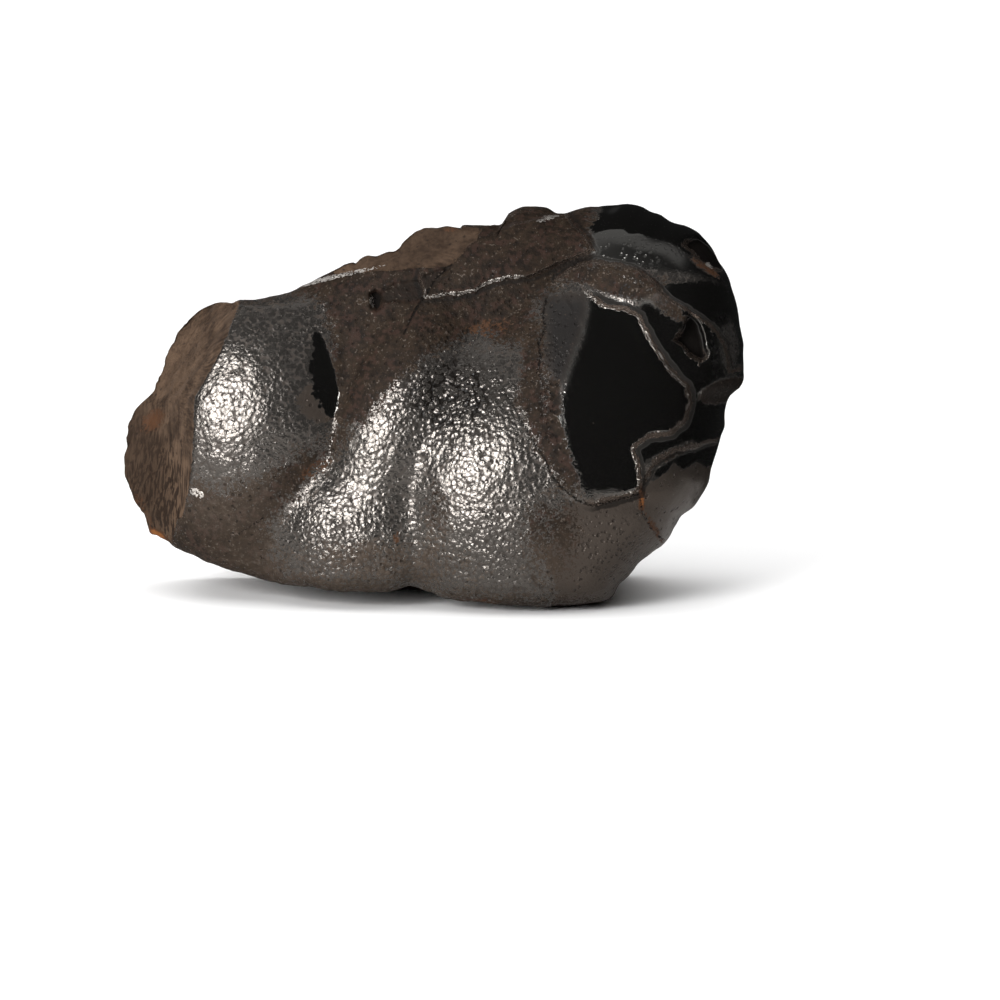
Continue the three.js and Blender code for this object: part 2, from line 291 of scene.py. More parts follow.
PIT_EDGE: Outline = (
    (40.1, 11.7), (41.4, 12.9), (42.1, 14.2), (42.8, 15.9), (44.3, 14.2), (45.1, 11.8), (45.7, 8.8),
    (44.5, 7.9), (43.1, 9.1), (41.9, 10.1),
)
NOTCH_EDGE: Outline = (
    (41.9, 27.7), (43.1, 28.7), (44.3, 29.1), (46.5, 27.9), (48.2, 25.7), (49.2, 23.5), (46.8, 23.7),
    (44.8, 24.9), (43.3, 26.4),
)
CHIP_EDGE: Outline = (
    (-10.7, 19.4), (-10, 20), (-9.1, 19.3), (-8.9, 17.3), (-9.7, 16.6), (-10.6, 17.2),
)
BACK_PEAK_EDGE: Outline = (
    (10.7, 30.6), (14.4, 31.6), (18.6, 32.6), (22.3, 33.7), (23.7, 39), (9.3, 39),
)
LEDGE_EDGE: Outline = (
    (-9.2, 19.6), (-6.6, 21.1), (-3.2, 21.7), (-1.2, 22.7), (2.9, 24.4), (0.3, 20.5), (-1.5, 18.9),
    (-3.4, 17.8), (-5.9, 18.1), (-8.5, 17.8),
)
UPPER_BREAK_EDGE: Outline = (
    (-17.8, 23.3), (-4.6, 24), (2.9, 24.4), (8.1, 31.3), (8.1, 39), (-17.8, 39),
)
LOWER_BREAK_EDGE: Outline = (
    (-10.7, 20.3), (-7.9, 18.6), (-5.6, 17.6), (-3, 16.7), (-1.5, 18.9), (2.9, 24.4), (-4.6, 25),
    (-9.3, 25),
)

LOBES: tuple[Lobe, ...] = (
    Lobe("swell", Oval((0.8, 0), (71, 54), 12), 15.5, 34),
    Lobe("left", Oval((-27.6, -3), (24, 29), 0), 17.6, 17.8),
    Lobe("low", Oval((-9.8, -21.4), (19, 18.6), 0), 20.2, 13),
    Lobe("bridge", Oval((-5.2, -5.1), (12.8, 23), -14), 20.6, 9),
    Lobe("middle", Oval((15.8, -14.6), (26.4, 31.6), 0), 26.2, 20),
    Lobe("great", Oval((24.6, -9.8), (28, 35.5), 0), 26, 26),
    Lobe("foot", Oval((26.5, -16.9), (25.4, 20.3), -10), 22, 21),
    Lobe("corner", Oval((38.7, -10.8), (14.4, 14.4), 0), 18.5, 14),
    Lobe("crown", Oval((37, 12), (22, 24), 10), 18.6, 17),
    Lobe("brow", Oval((11, 18.6), (28.7, 15.2), 8), 14, 13),
)

# How the face rolls over to the rim: direction in degrees from +u, and the roll's width and depth.
ROLLS: tuple[Triple, ...] = (
    (0, 10, 14), (45, 9, 13), (62, 5, 6), (80, 3, 3), (110, 4, 4), (140, 5, 5), (165, 1, 1), (200, 1, 1),
    (220, 2, 2), (240, 3, 3), (265, 4, 4), (290, 4, 4), (308, 5, 6), (335, 8, 11), (360, 10, 14),
)


@dataclass(frozen=True)
class Rim:
    """The stone's edge seen square on to its face, as a smooth closed curve."""

    knots: Outline = RIM_KNOTS
    steps: int = 8
    raggedness: float = 0.4
    spread: float = math.radians(7)

    def rounded(self, angle: Array) -> Array:
        """The rim's radius with its notches and corners evened out."""
        offsets = np.linspace(-2.0, 2.0, 9)
        weights = np.exp(-(offsets**2) / 2)
        turns = [self.radius(angle + self.spread * offset) for offset in offsets]
        return np.average(turns, axis=0, weights=weights)

    def radius(self, angle: Array) -> Array:
        """Distance from the middle to the rim in each direction."""
        knots = np.array(self.knots)
        before, after = np.roll(knots, 1, axis=0), np.roll(knots, -1, axis=0)
        beyond = np.roll(knots, -2, axis=0)
        curve = []
        for step in range(self.steps):
            t = step / self.steps
            curve.append(
                0.5 * (2 * knots + (after - before) * t
                       + (2 * before - 5 * knots + 4 * after - beyond) * t**2
                       + (3 * knots - before - 3 * after + beyond) * t**3)
            )
        points = np.concatenate(curve)
        directions = np.arctan2(points[:, 1], points[:, 0])
        order = np.argsort(directions)
        radii = np.hypot(points[:, 0], points[:, 1])
        smooth = np.interp(angle, directions[order], radii[order], period=2 * math.pi)
        edge = np.stack([smooth * np.cos(angle), smooth * np.sin(angle), 0 * angle], axis=1)
        return smooth + self.raggedness * (grain(edge, 5.0, 2.9) + 0.6 * grain(edge, 2.0, 6.6))


@dataclass(frozen=True)
class Face:
    """Relief of the lobed face, with its layers, hollows and breaks."""

    lobes: tuple[Lobe, ...] = LOBES
    rolls: tuple[Triple, ...] = ROLLS
    blend: float = 0.75
    shell: Layer = Layer(SHELL_EDGE, (0.0, 1.9), (19.0, 40.0), 1.2)
    layer: Layer = Layer(LAYER_EDGE, (0.9, 0.9), bevel=0.8)
    plate: Layer = Layer(PLATE_EDGE, (1.2, 1.2), bevel=0.6)
    pit: Hollow = Hollow(PIT_EDGE, 3.0, 0.8)
    notch: Hollow = Hollow(NOTCH_EDGE, 3.0, 1.0)
    chip: Hollow = Hollow(CHIP_EDGE, 1.8, 0.7)
    ledge: Hollow = Hollow(LEDGE_EDGE, 0.5, 0.6)
    back_peak: Hollow = Hollow(BACK_PEAK_EDGE, 7.0, 1.2)
    end_upper: Flat = Flat((-40.4, 1.5, 15.0), (-0.9, 0.5, 0.4))
    end_lower: Flat = Flat((-40.4, 1.5, 15.0), (-0.9, 0.0, 0.4))
    tip: Flat = Flat((-46.0, -6.8, 2.4), (-0.6, 0.3, 0.75))
    upper_break: Flat = Flat((2.9, 24.4, 13.5), (-0.25, 0.72, 0.62))
    lower_break: Flat = Flat((-3.0, 17.1, 14.6), (-0.12, 0.1, 0.97))
    rim_fade: float = 1.5
    wander: float = 0.3
    layers: tuple[str, ...] = ("layer", "shell", "plate")
    hollows: tuple[str, ...] = ("pit", "notch", "chip", "ledge", "back_peak")

    def lobe_height(self, u: Array, v: Array, angle: Array, inward: Array) -> Array:
        """Height of the bare lobes, before anything broke off or peeled.

        Args:
            u, v: places on the face.
            angle: direction of each place from the middle.
            inward: how far each place lies inside the rim.

        Returns:
            Heights in mm.
        """
        degrees = np.degrees(angle) % 360
        along, widths, depths = zip(*self.rolls)
        width, depth = np.interp(degrees, along, widths), np.interp(degrees, along, depths)
        share = np.clip(1 - inward / width, 0.0, 1.0)
        rolled = depth * (1 - np.sqrt(1 - share**2))
        return soft_maximum([lobe.height(u, v) for lobe in self.lobes], self.blend) - rolled

    def near_side(self, u: Array, v: Array) -> Array:
        """1 except right of the valley beside the left lobe, whose polish ends there."""
        left = next(lobe for lobe in self.lobes if lobe.name == "left").height(u, v)
        rest = np.max([lobe.height(u, v) for lobe in self.lobes if lobe.name != "left"], axis=0)
        return np.maximum(ease(0.3, 0.8, left - rest), ease(-6.0, -4.0, u))

    def edges(self, u: Array, v: Array) -> dict[str, Array]:
        """How far inside each layer and hollow every place lies, with rough edges.

        Args:
            u, v: places on the face.

        Returns:
            Depths inside, by the name of the layer or hollow.
        """
        places = np.stack([u, v, np.zeros_like(u)], axis=1)
        shift = self.wander * (grain(places, 1.6, 3.1) + 0.5 * grain(places, 0.7, 9.4))
        slide = self.wander * (grain(places, 1.6, 5.7) + 0.5 * grain(places, 0.7, 1.2))
        outlines = {name: getattr(self, name).edge for name in (*self.layers, *self.hollows)}
        outlines |= {"upper_break": UPPER_BREAK_EDGE, "lower_break": LOWER_BREAK_EDGE}
        return {name: depth_inside(u + shift, v + slide, edge) for name, edge in outlines.items()}

    def height(
        self, u: Array, v: Array, angle: Array, inward: Array
    ) -> tuple[Array, dict[str, Array]]:
        """Height of the finished face and what shows at each place.

        Args:
            u, v: places on the face.
            angle: direction of each place from the middle.
            inward: how far each place lies inside the rim.

        Returns:
            The heights, and arrays that say how broken, how deep below the crust and how
            far inside each edge every place is.
        """
        crust = self.lobe_height(u, v, angle, inward)
        inside = self.edges(u, v)
        fade = np.clip(inward / self.rim_fade, 0.0, 1.0)
        risen = [getattr(self, name).height(u, inside[name]) for name in self.layers]
        height = crust + np.max(risen, axis=0) * fade
        for name in self.hollows:
            hollow = getattr(self, name)
            height = height - hollow.depth * ease(-hollow.bevel / 2, hollow.bevel / 2, inside[name])
        whole = height
        end = soft_minimum(self.end_upper.level(u, v), self.end_lower.level(u, v), 0.8)
        end = np.maximum(end, self.tip.level(u, v))
        height = soft_minimum(height, end, 0.3)
        for name in ("upper_break", "lower_break"):
            wall = 4 * np.maximum(0.0, -inside[name])
            height = soft_minimum(height, getattr(self, name).level(u, v) + wall, 0.3)
        shows = {f"in_{name}": depth for name, depth in inside.items()}
        shows["shell_seen"] = ease(24.5, 27.5, u)
        shows["layer_seen"] = 1 - ease(-0.6, 0.2, inside["shell"])
        shows["broken"] = ease(0.05, 0.5, whole - height)
        return height, shows


@dataclass(frozen=True)
class Back:
    """The broken back and the foot, as flats that cut the rounded stone."""

    level: float = -30.0
    rounding: float = 0.38
    foot_rounding: float = 0.06
    foot_direction: float = 256.0
    core: Triple = (2, 0, -4)
    flats: tuple[Flat, ...] = (
        Flat((-14, -6, -25), (-0.16, -0.06, -0.98)),
        Flat((18, -8, -26.5), (0.2, -0.02, -0.98)),
        Flat((4, 12, -24), (0.06, 0.38, -0.92)),
        Flat((-25, 16, -14), (-0.42, 0.62, -0.66)),
        Flat((25, 26, -15), (0.15, 0.72, -0.68)),
        Flat((44, 0, -22), (0.6, 0, -0.8)),
        Flat((-44, -5, -20), (-0.7, -0.1, -0.7)),
    )

    def reach(self, sine: Array, angle: Array) -> Array:
        """Share of the rim's radius that the back keeps."""
        turned = np.cos(angle - math.radians(self.foot_direction))
        share = np.clip(2 * turned, 0.0, 1.0)
        power = self.rounding + (self.foot_rounding - self.rounding) * share
        return sine**power


@dataclass(frozen=True)
class Stance:
    """How the face frame stands in the row frame."""

    lean: float = math.radians(8)
    middle_height: float = 31.1
    shift: Place = (0.0, 0.0)

    def axes(self) -> Array:
        """Rows are the u, v and n directions in the row frame."""
        sine, cosine = math.sin(self.lean), math.cos(self.lean)
        return np.array([[1, 0, 0], [0, sine, cosine], [0, -cosine, sine]])

    def row(self, points: Array) -> Array:
        """Turns rows of (u, v, n) in mm into row frame points in metres."""
        moved = points @ self.axes() + np.array([*self.shift, self.middle_height])
        return moved * METRES

    def foot(self) -> Flat:
        """The flat that the stone stands on, in the face frame."""
        sine, cosine = math.sin(self.lean), math.cos(self.lean)
        return Flat((0.0, -self.middle_height / cosine, 0.0), (0.0, -cosine, -sine))


# ---- What the surface looks like where --------------------


@dataclass(frozen=True)
class Patch:
    """A soft oval of some surface quality on the face."""

    oval: Oval
    amount: float = 1.0

    def share(self, u: Array, v: Array) -> Array:
        """Amount at each place, full in the middle and fading at the oval's edge."""
        return self.amount * (1 - ease(0.4, 1.4, self.oval.reach(u, v)))


@dataclass(frozen=True)
class Area:
    """A region of the face with an outline, whose edge fades over a set width."""

    outline: Outline
    fade: float
    amount: float = 1.0

    def share(self, u: Array, v: Array) -> Array:
        """Amount at each place: full well inside and none well outside."""
        depth = depth_inside(u, v, self.outline)
        return self.amount * np.clip(0.5 + 0.5 * depth / self.fade, 0.0, 1.0)


Regions = tuple[Patch | Area, ...]


def ovals(*rows: tuple[float, ...]) -> Regions:
    """Patches from rows of u, v, two half sizes, a turn and, where it isn't 1, an amount."""
    return tuple(Patch(Oval(row[:2], row[2:4], row[4]), *row[5:]) for row in rows)


def strongest(regions: Regions, u: Array, v: Array) -> Array:
    """Largest amount of several regions at each place."""
    return np.max([region.share(u, v) for region in regions], axis=0)


CAP_POLISH: Outline = (
    (25.8, 19), (25.9, 17), (25, 12.6), (23.2, 7.8), (21.4, 2.5), (21.1, -1.7), (22.5, -6.8), (24, -11),
    (25.2, -14.4), (34.5, -14), (34, -7), (43, -4.5), (43.5, 4), (36, 16), (30, 19),
)
DOME_POLISH: Outline = (
    (28.6, 37), (28, 33), (26, 30.6), (26.9, 28.6), (26.4, 25), (34.7, 23.7), (43.1, 22.8),
    (51.6, 20.3), (54, 37),
)
DOME_BAND: Outline = (
    (26.4, 28.8), (34.7, 29.3), (39.4, 28.2), (43.1, 26), (47.3, 24), (47.3, 22), (37, 21.8),
    (32.5, 22.8), (26.4, 24),
)
CAP_SHOULDER: Outline = (
    (17.8, 19.6), (25.6, 19.4), (26.2, 17), (25.4, 12.6), (23.6, 7.8), (21.8, 2.5), (19.6, 1.5),
    (18.4, 7), (18, 13),
)
SIDE_POLISH: Outline = (
    (33, 19.5), (38, 20.6), (44.8, 21.5), (54, 20.3), (54, 2.5), (48.5, -10.1), (43.1, -5.1), (35, -9),
    (34.5, -14), (34, -6), (41.9, -2), (42.8, 2), (36, 14),
)
CORNER_POLISH: Outline = (
    (36.2, -11.9), (37.2, -10.1), (41.4, -7.1), (44.8, -6), (50, -5), (50, -8.2), (45.7, -9.6),
    (43.8, -8.7), (41.7, -10.2), (40.1, -8.8), (38.6, -10.6), (37.4, -11.4),
)
CORNER_SMOOTH: Outline = (
    (34.6, -13.4), (37.4, -11.4), (38.6, -10.6), (40.1, -8.8), (41.7, -10.2), (43.8, -8.7),
    (45.7, -9.6), (50, -8.2), (50, -30), (34, -30),
)
LEFT_POLISH: Outline = (
    (-20.2, 13.5), (-17.4, 14.9), (-13.1, 11), (-12.4, 5.9), (-12.8, -1.6), (-16, -2.6), (-18.4, -0.5),
    (-20.4, 3), (-20.8, 7.6),
)
FOOT_SMOOTH: Outline = (
    (21.1, -16.9), (23.7, -15.2), (34.2, -14.4), (35.5, -22.8), (39, -22.8), (30.4, -34), (21.1, -34),
    (18.6, -25.4),
)
TOP_FILM: Outline = (
    (-34, 20.5), (-15.2, 26.7), (11, 35.3), (27.4, 36.4), (26.8, 25), (34.7, 23.7), (43.1, 18.6),
    (44.8, 16.1), (38, 18.6), (27.9, 22.8), (21.1, 21.4), (17.4, 18), (16.4, 12), (12, 10.6),
    (7.6, 12.7), (0.8, 10), (-3.9, 6.5), (-8.8, 1.7), (-12, -3), (-16.5, -3), (-17.6, 4), (-17.4, 13.5),
    (-20, 18.8), (-26.2, 19.5), (-34, 17.5),
)
LOW_FILM: Outline = (
    (-46, -22), (-41.4, -11), (-35.5, -12.8), (-29.3, -11.5), (-24.5, -7.6), (-17.8, -5.1),
    (-14.4, 1.7), (-14, -4.4), (-18.6, -10.1), (-23.5, -15.2), (-27.9, -20.3), (-24.5, -26.5),
    (-2.5, -29.5), (21.1, -31.4), (27.9, -32.1), (-5.9, -38), (-31.3, -34), (-46, -28),
)
MARGIN_FILM: Outline = (
    (14.4, 11.8), (16.6, 17.6), (18.2, 13.5), (18.8, 5), (21, -3.4), (23.2, -10.1), (25.4, -14.4),
    (21.1, -13.5), (16.9, -6.8), (13.5, 1.7),
)
END_BREAK: Outline = (
    (-33.1, 17.8), (-36.5, 11.2), (-39.2, 6.8), (-40.4, 1.5), (-41.1, -4.6), (-41.4, -9), (-43, -16.4),
    (-44.3, -21.6), (-46, -32), (-60, -32), (-60, 26), (-33, 26),
)


@dataclass(frozen=True)
class Zones:
    """Where the face has which look.

    matted takes polish away and films it over, hazed dulls the mirror and softens its edge,
    calm takes pebbles away, bold makes them larger and dark darkens film and breaks, partly as
    painted shade below the ledge and round the right rim.
    """

    polished: Regions = (
        Area(CAP_POLISH, 1.6), Area(DOME_POLISH, 1), Area(SIDE_POLISH, 1), Area(CORNER_POLISH, 0.5),
        Area(LEFT_POLISH, 1.3),
    )
    smooth: Regions = (
        Area(FOOT_SMOOTH, 2.5), Area(CORNER_SMOOTH, 0.4), Area(CAP_SHOULDER, 2.2),
        *ovals(
            (-19, 1, 4.5, 4, -20, 0.9), (31, 20.4, 6.5, 2, -16, 0.85), (-36, -21, 9, 6, -25, 0.9),
        ),
    )
    hazed: Regions = (
        Area(CAP_SHOULDER, 2), Area(DOME_BAND, 0.5),
        *ovals((31, 20.6, 9, 2.8, -16), (41, -8, 7, 2.2, 8, 0.5), (48.5, 10, 3.5, 9, 0, 0.8)),
    )
    matted: Regions = ovals(
        (48.8, 3.2, 5, 2, 18, 1.3), (49.6, 10.5, 2.2, 5.5, 0, 0.55), (38.5, 17.6, 6.5, 1.8, -40, 0.7),
        (31, 20.4, 8, 1.8, -16, 0.8), (40, -7.4, 5, 1, 22, 0.6),
    )
    filmed: Regions = (
        Area(TOP_FILM, 2.5), Area(LOW_FILM, 3, 0.85), Area(MARGIN_FILM, 1.5, 0.8),
        *ovals(
            (26, 22.4, 8, 1.6, -4, 0.9), (21.6, -7, 2.2, 8, 22), (20.4, -1, 1.8, 7, 6),
            (40, 19.2, 6, 1.4, -24, 0.8), (0.5, -20, 3, 9, 0, 0.5), (-8, -26, 18, 5, -4, 0.55),
            (19.5, -22, 6, 9, 0, 0.6), (49.5, 3.6, 3.6, 2.6, 20, 1.2), (49, 11, 2.6, 6, 0, 0.55),
            (37, 17, 5, 2.2, -38, 0.6),
        ),
    )
    rusty: Regions = ovals(
        (34.6, -15, 0.8, 2.4, 0, 1.15), (36.8, -20, 0.7, 3.6, 32, 0.95), (9, 13.5, 4.5, 2, 10, 0.7),
        (-20, -10, 3.6, 1.5, 38, 0.65), (-6.2, -21.5, 1, 1.4, 0, 0.9), (7, -32.5, 5, 1, 0, 0.9),
        (-48, -1.8, 3, 1.8, 40, 0.95), (-46.8, -21.2, 2.6, 1, -35, 1.2),
        (45.6, 23.8, 3.6, 0.8, -32, 0.95), (-49.6, -17, 1.6, 3.4, 20, 0.75),
        (2.8, 30.6, 1.8, 0.8, 10, 0.8),
    )
    # Painted highlights: pale grey patches where glints and bright slivers show, at a chip on the left
    # end, a slot's edge, the top rim, under the back peak and at the notch.
    painted_gleams: Regions = ovals(
        (-39.9, -14, 1.3, 0.6, -20, 1.3), (-10.5, 18.2, 0.35, 1.2, 5, 1.1),
        (-19, 21.9, 10.5, 0.42, 13, 1.15), (19.6, 32.8, 3, 0.6, 24, 1.2),
        (46.2, 24.4, 0.7, 0.5, -30, 1.2),
    )
    # Painted highlight along the plate's lower edge.
    plate_painted_gleam: Regions = ovals((6.5, 20.6, 10, 3, 14, 0.95))
    pitted: Regions = ovals(
        (-22.6, 13.2, 4, 2.4, 0), (2.3, 12.2, 5.5, 3, 0), (-17, 3, 4, 4, 0, 0.7), (19.6, 4, 3.2, 13, 6),
        (8, 16, 12, 5, 0, 0.5), (29, -23, 7, 6, 0, 0.6), (33, 26.5, 9, 2.5, 0, 0.7),
        (48, 11, 3, 6, 0, 0.6),
    )
    striated: Regions = ovals((-46.4, -15.5, 5.5, 8.5, 12))
    grooved: Regions = ovals((-47, -12, 6.5, 16, 8))
    bold: Regions = ovals((2.5, 2.5, 9, 8, 0))
    # Painted light: where the low film is made paler, for light thrown up from the floor.
    pale: Regions = ovals((-6, -26, 30, 8, -3), (-36, -14, 10, 8, -20, 0.6))
    # Where the painted highlight dots along the shell's lip grow thicker.
    sparkling: Regions = ovals(
        (37.5, 9, 3.5, 9, 32), (32.4, -10.5, 2.4, 4.5, 0, 0.8), (26.5, 19.2, 5, 2.4, -20),
    )
    calm: Regions = ovals((-36, 1, 9, 16, 0, 0.15))
    # Darker film and broken stone: painted shade below the ledge and round the right rim, darker stone at
    # the left end and on the upper break.
    dark: Regions = (
        Area(LEDGE_EDGE, 0.6, 0.9),
        *ovals(
            (-50, -9, 5, 14, 10, 0.6), (-3, 28, 12, 5, 20, 0.5), (49, 3, 5.5, 3, 18),
            (50, 11, 3.5, 8, 0, 0.8),
        ),
    )
    end: Area = Area(END_BREAK, 0.3)
    # Paths of cracks, grooved in the bump and darkened with painted shade.
    cracks: tuple[Outline, ...] = (
        ((-35.5, -22.2), (-33.6, -21), (-32.6, -20.9), (-30.4, -19.4), (-28.7, -18.3)),
        ((2.9, 24.4), (0.2, 22), (-1.5, 19.1)),
        ((11.8, 2.5), (13.2, 0.6), (14.4, -1.7), (16.2, -5), (18.6, -8.5), (19.4, -11),
         (20.9, -12.8), (23.7, -15)),
        ((18.8, 18.5), (18.2, 16), (18.6, 13.5), (17.4, 11), (17.8, 8.5), (17.2, 6)),
        ((-1.7, 19), (-3.2, 16.6), (-5.1, 12.7)),
        ((23.7, -15.2), (26.5, -16.2), (30.5, -15.2), (34, -14.2)),
        ((34.2, -14.2), (34.8, -17.4), (36.4, -20.2), (38.9, -22.4)),
    )


@dataclass(frozen=True)
class Sprays:
    """Bundles of fibres inside the stone, each spreading from a centre."""

    centres: tuple[Triple, ...] = (
        (-42, 4, -6),
        (-14, -20, -24),
        (8, -4, -27),
        (30, -14, -22),
        (34, 18, -20),
        (-8, 18, -18),
    )
    wobble: float = 1.5
    fibres: float = 22.0
    apart: float = 31.0
    seam: Place = (0.2, 2.4)

    def coordinates(self, points: Array) -> tuple[Array, Array, Array]:
        """Places points in the spray that they belong to.

        Args:
            points: rows of (u, v, n).

        Returns:
            Rows that hardly change along a fibre but quickly across it, each point's
            distance from its spray's centre, and how clear it is of the next spray.
        """
        centres = np.array(self.centres)
        shifts = np.stack([grain(points, 9.0, seed) for seed in (2.2, 6.1, 8.8)], axis=1)
        offsets = (points + self.wobble * shifts)[:, None, :] - centres[None, :, :]
        distances = np.linalg.norm(offsets, axis=2)
        nearest = distances.argmin(axis=1)
        rows = np.arange(len(points))
        away = offsets[rows, nearest]
        length = np.maximum(distances[rows, nearest], 2.0)
        across = self.fibres * away / length[:, None] + self.apart * nearest[:, None]
        ranked = np.sort(distances, axis=1)
        return across, length, ease(*self.seam, ranked[:, 1] - ranked[:, 0])


# ---- The modelled stone --------------------


@dataclass
class Stone:
    """The fine mesh of the specimen and the attributes that its finish reads."""

    steps: int = 128
    face_share: float = 0.5
    pebble_size: float = 1.15
    pebble_rise: float = 0.06
    ledge_size: float = 15.0
    ledge_steps: int = 4
    ledge_depth: float = 3.6
    ledge_middle: float = 2.1
    splinter_depth: float = 0.35
    chip_depth: float = 0.5
    swell: float = 0.12
    boldness: float = 1.6
    foot_margin: float = 4.0
    pit_middle: Place = (43.2, 11.8)
    notch_middle: Place = (45.3, 26.6)
    between_hollows: float = 19.0
    crust_from: Place = (-48, -30)
    crust_to: Place = (68, 84)
    far: float = 9.0
    kept: tuple[str, ...] = (
        "break", "polish", "pebble", "smooth", "bands", "clear", "shell_seen", "layer_seen",
    )
    zoned: tuple[str, ...] = (
        "rusty", "pitted", "dark", "hazed", "pale", "sparkling", "grooved", "bold",
    )
    rim: Rim = field(default_factory=Rim)
    face: Face = field(default_factory=Face)
    back: Back = field(default_factory=Back)
    zones: Zones = field(default_factory=Zones)
    sprays: Sprays = field(default_factory=Sprays)
    stance: Stance = field(default_factory=Stance)
    mesh: bpy.types.Mesh = field(init=False)
    points: Array = field(init=False)
    shows: dict[str, Array] = field(init=False)

    def build(self, box: tuple[Vector, Vector]) -> bpy.types.Object:
        """Models the stone and sets it in the CAD model's box.

        Args:
            box: lowest and highest corner of the CAD stone.

        Returns:
            The stone's object, without a material.
        """
        self.mesh = self.ball()
        self.shape()
        middle = [(low + high) / 2 / METRES for low, high in zip(box[0][:2], box[1][:2])]
        plain = self.stance.row(self.points) / METRES
        own = (plain.min(axis=0) + plain.max(axis=0)) / 2
        self.stance = replace(self.stance, shift=(middle[0] - own[0], middle[1] - own[1]))
        self.place()
        self.weather()
        self.roughen()
        self.place()
        self.store()
        stone = bpy.data.objects.new("goethite_stone", self.mesh)
        bpy.context.scene.collection.objects.link(stone)
        return stone

    def ball(self) -> bpy.types.Mesh:
        """A cube whose sides are split into even quads, ready to be made round."""
        grid = bmesh.new()
        bmesh.ops.create_cube(grid, size=2.0)
        cuts = self.steps - 1
        bmesh.ops.subdivide_edges(grid, edges=grid.edges[:], cuts=cuts, use_grid_fill=True)
        for side in grid.faces:
            side.smooth = True
        mesh = bpy.data.meshes.new("goethite_stone")
        grid.to_mesh(mesh)
        grid.free()
        return mesh

    def directions(self) -> Array:
        """Unit directions from the middle to the cube's vertices, evenly spread."""
        flat = np.empty(len(self.mesh.vertices) * 3)
        self.mesh.vertices.foreach_get("co", flat)
        spread = np.tan(flat.reshape(-1, 3) * math.pi / 4)
        return spread / np.linalg.norm(spread, axis=1, keepdims=True)

    def shape(self) -> None:
        """Bends the ball into the stone and notes what shows at each vertex."""
        directions = self.directions()
        angle = np.arctan2(directions[:, 1], directions[:, 0])
        polar = np.arccos(np.clip(directions[:, 2], -1.0, 1.0))
        bent = polar - self.face_share * np.sin(polar)
        sine, forward = np.sin(bent), np.cos(bent)
        is_face = forward >= 0
        behind = np.where(is_face, 0.0, -forward)
        radius = self.rim.radius(angle)
        radius += (self.rim.rounded(angle) - radius) * ease(0.0, 0.45, behind)
        reach = np.where(is_face, sine, self.back.reach(sine, angle))
        u = radius * reach * np.cos(angle)
        v = radius * reach * np.sin(angle)
        face_reach = np.where(is_face, reach, 1.0)
        face_u, face_v = radius * face_reach * np.cos(angle), radius * face_reach * np.sin(angle)
        height, shows = self.face.height(face_u, face_v, angle, radius * (1 - face_reach))
        n = height + (self.back.level - height) * behind
        points = np.stack([u, v, n], axis=1)
        core = np.array(self.back.core)
        cut = np.zeros(len(points), bool)
        for flat in self.back.flats:
            points, beyond = flat.clip(points, core)
            cut |= beyond
        self.points, foot = self.stance.foot().clip(points, core)
        self.shows = shows | {"behind": behind, "cut": cut | foot, "foot": foot, "angle": angle}

    def place(self) -> None:
        """Writes the points into the mesh as row frame metres."""
        self.mesh.vertices.foreach_set("co", self.stance.row(self.points).ravel())
        self.mesh.update()

    def normals(self) -> Array:
        """Vertex normals, turned back into the face frame."""
        flat = np.empty(len(self.points) * 3)
        self.mesh.vertex_normals.foreach_get("vector", flat)
        return flat.reshape(-1, 3) @ self.stance.axes().T

    def zone(self, name: str) -> Array:
        """Amount of one of the zones at each vertex."""
        return strongest(getattr(self.zones, name), self.points[:, 0], self.points[:, 1])

    def weather(self) -> None:
        """Notes where the crust is whole, polished, filmed or pebbled and how fibres run."""
        points, shows = self.points, self.shows
        u, v = points[:, 0], points[:, 1]
        on_face = shows["behind"] <= 0
        ended = self.zones.end.share(u, v)
        crust = np.where(on_face, (1 - shows["broken"]) * (1 - ended), self.crust_behind())
        matted = self.zone("matted") * on_face
        polish = self.zone("polished") * crust * self.face.near_side(u, v)
        polish = np.clip(polish - matted, 0.0, 1.0)
        film = np.maximum(self.zone("filmed"), matted)
        smooth = self.zone("smooth")
        bold = 1 + self.boldness * self.zone("bold") + ease(-15.0, -24.0, v)
        bared = (1 - ease(0.0, 0.5, polish)) * (1 - 0.5 * film) * (1 - 0.85 * smooth)
        pebble = crust * on_face * bared * bold * (1 - self.zone("calm"))
        across, along, clear = self.sprays.coordinates(points)
        rings = np.column_stack([along + 2.5 * grain(points, 11.0, 4.9), across[:, :2] / 40.0])
        self.shows |= {
            "crust": crust, "break": 1 - crust, "polish": polish, "pebble": pebble,
            "smooth": smooth, "film": film, "across": across, "along": along, "clear": clear,
            "bands": grain(rings, 2.6, 3.3, 2), "fibrous": ease(0.0, 0.12, shows["behind"]),
        }

    def roughen(self) -> None:
        """Raises pebbles on the crust and cuts splinters and ledges into broken stone."""
        points, shows = self.points, self.shows
        splinter = grain(shows["across"] + shows["along"][:, None] / 9.0, 1.6, 4.4, 2)
        chips = np.abs(grain(points, 7.0, 5.5, 2))
        depth = self.splinter_depth + self.splinter_depth * splinter + self.chip_depth * chips
        middle = self.ledge_middle * ease(0.25, 0.6, shows["behind"])
        inward = -depth * shows["break"]
        inward -= (self.ledges() - middle) * shows["fibrous"] * shows["break"]
        foot = self.stance.foot()
        inward *= ease(0.0, self.foot_margin, (np.array(foot.point) - points) @ foot.unit())
        rise = self.pebble_rise * (pebble_height(points, self.pebble_size, 0.7) - 0.5)
        outward = rise * shows["pebble"]
        outward += self.swell * grain(points, 5.0, 8.1, 2) * shows["crust"] * (1 - shows["polish"])
        lift = (inward + outward) * (1 - shows["foot"])
        self.points = points + self.normals() * lift[:, None]

    def ledges(self) -> Array:
        """Depth of the stepped ledges that the broken back came away in."""
        level = 0.5 + 0.5 * grain(self.points, self.ledge_size, 1.9, 2)
        steps = np.clip(level, 0.0, 1.0) * self.ledge_steps
        tread = np.floor(steps)
        return self.ledge_depth * (tread + ease(0.55, 0.85, steps - tread)) / self.ledge_steps

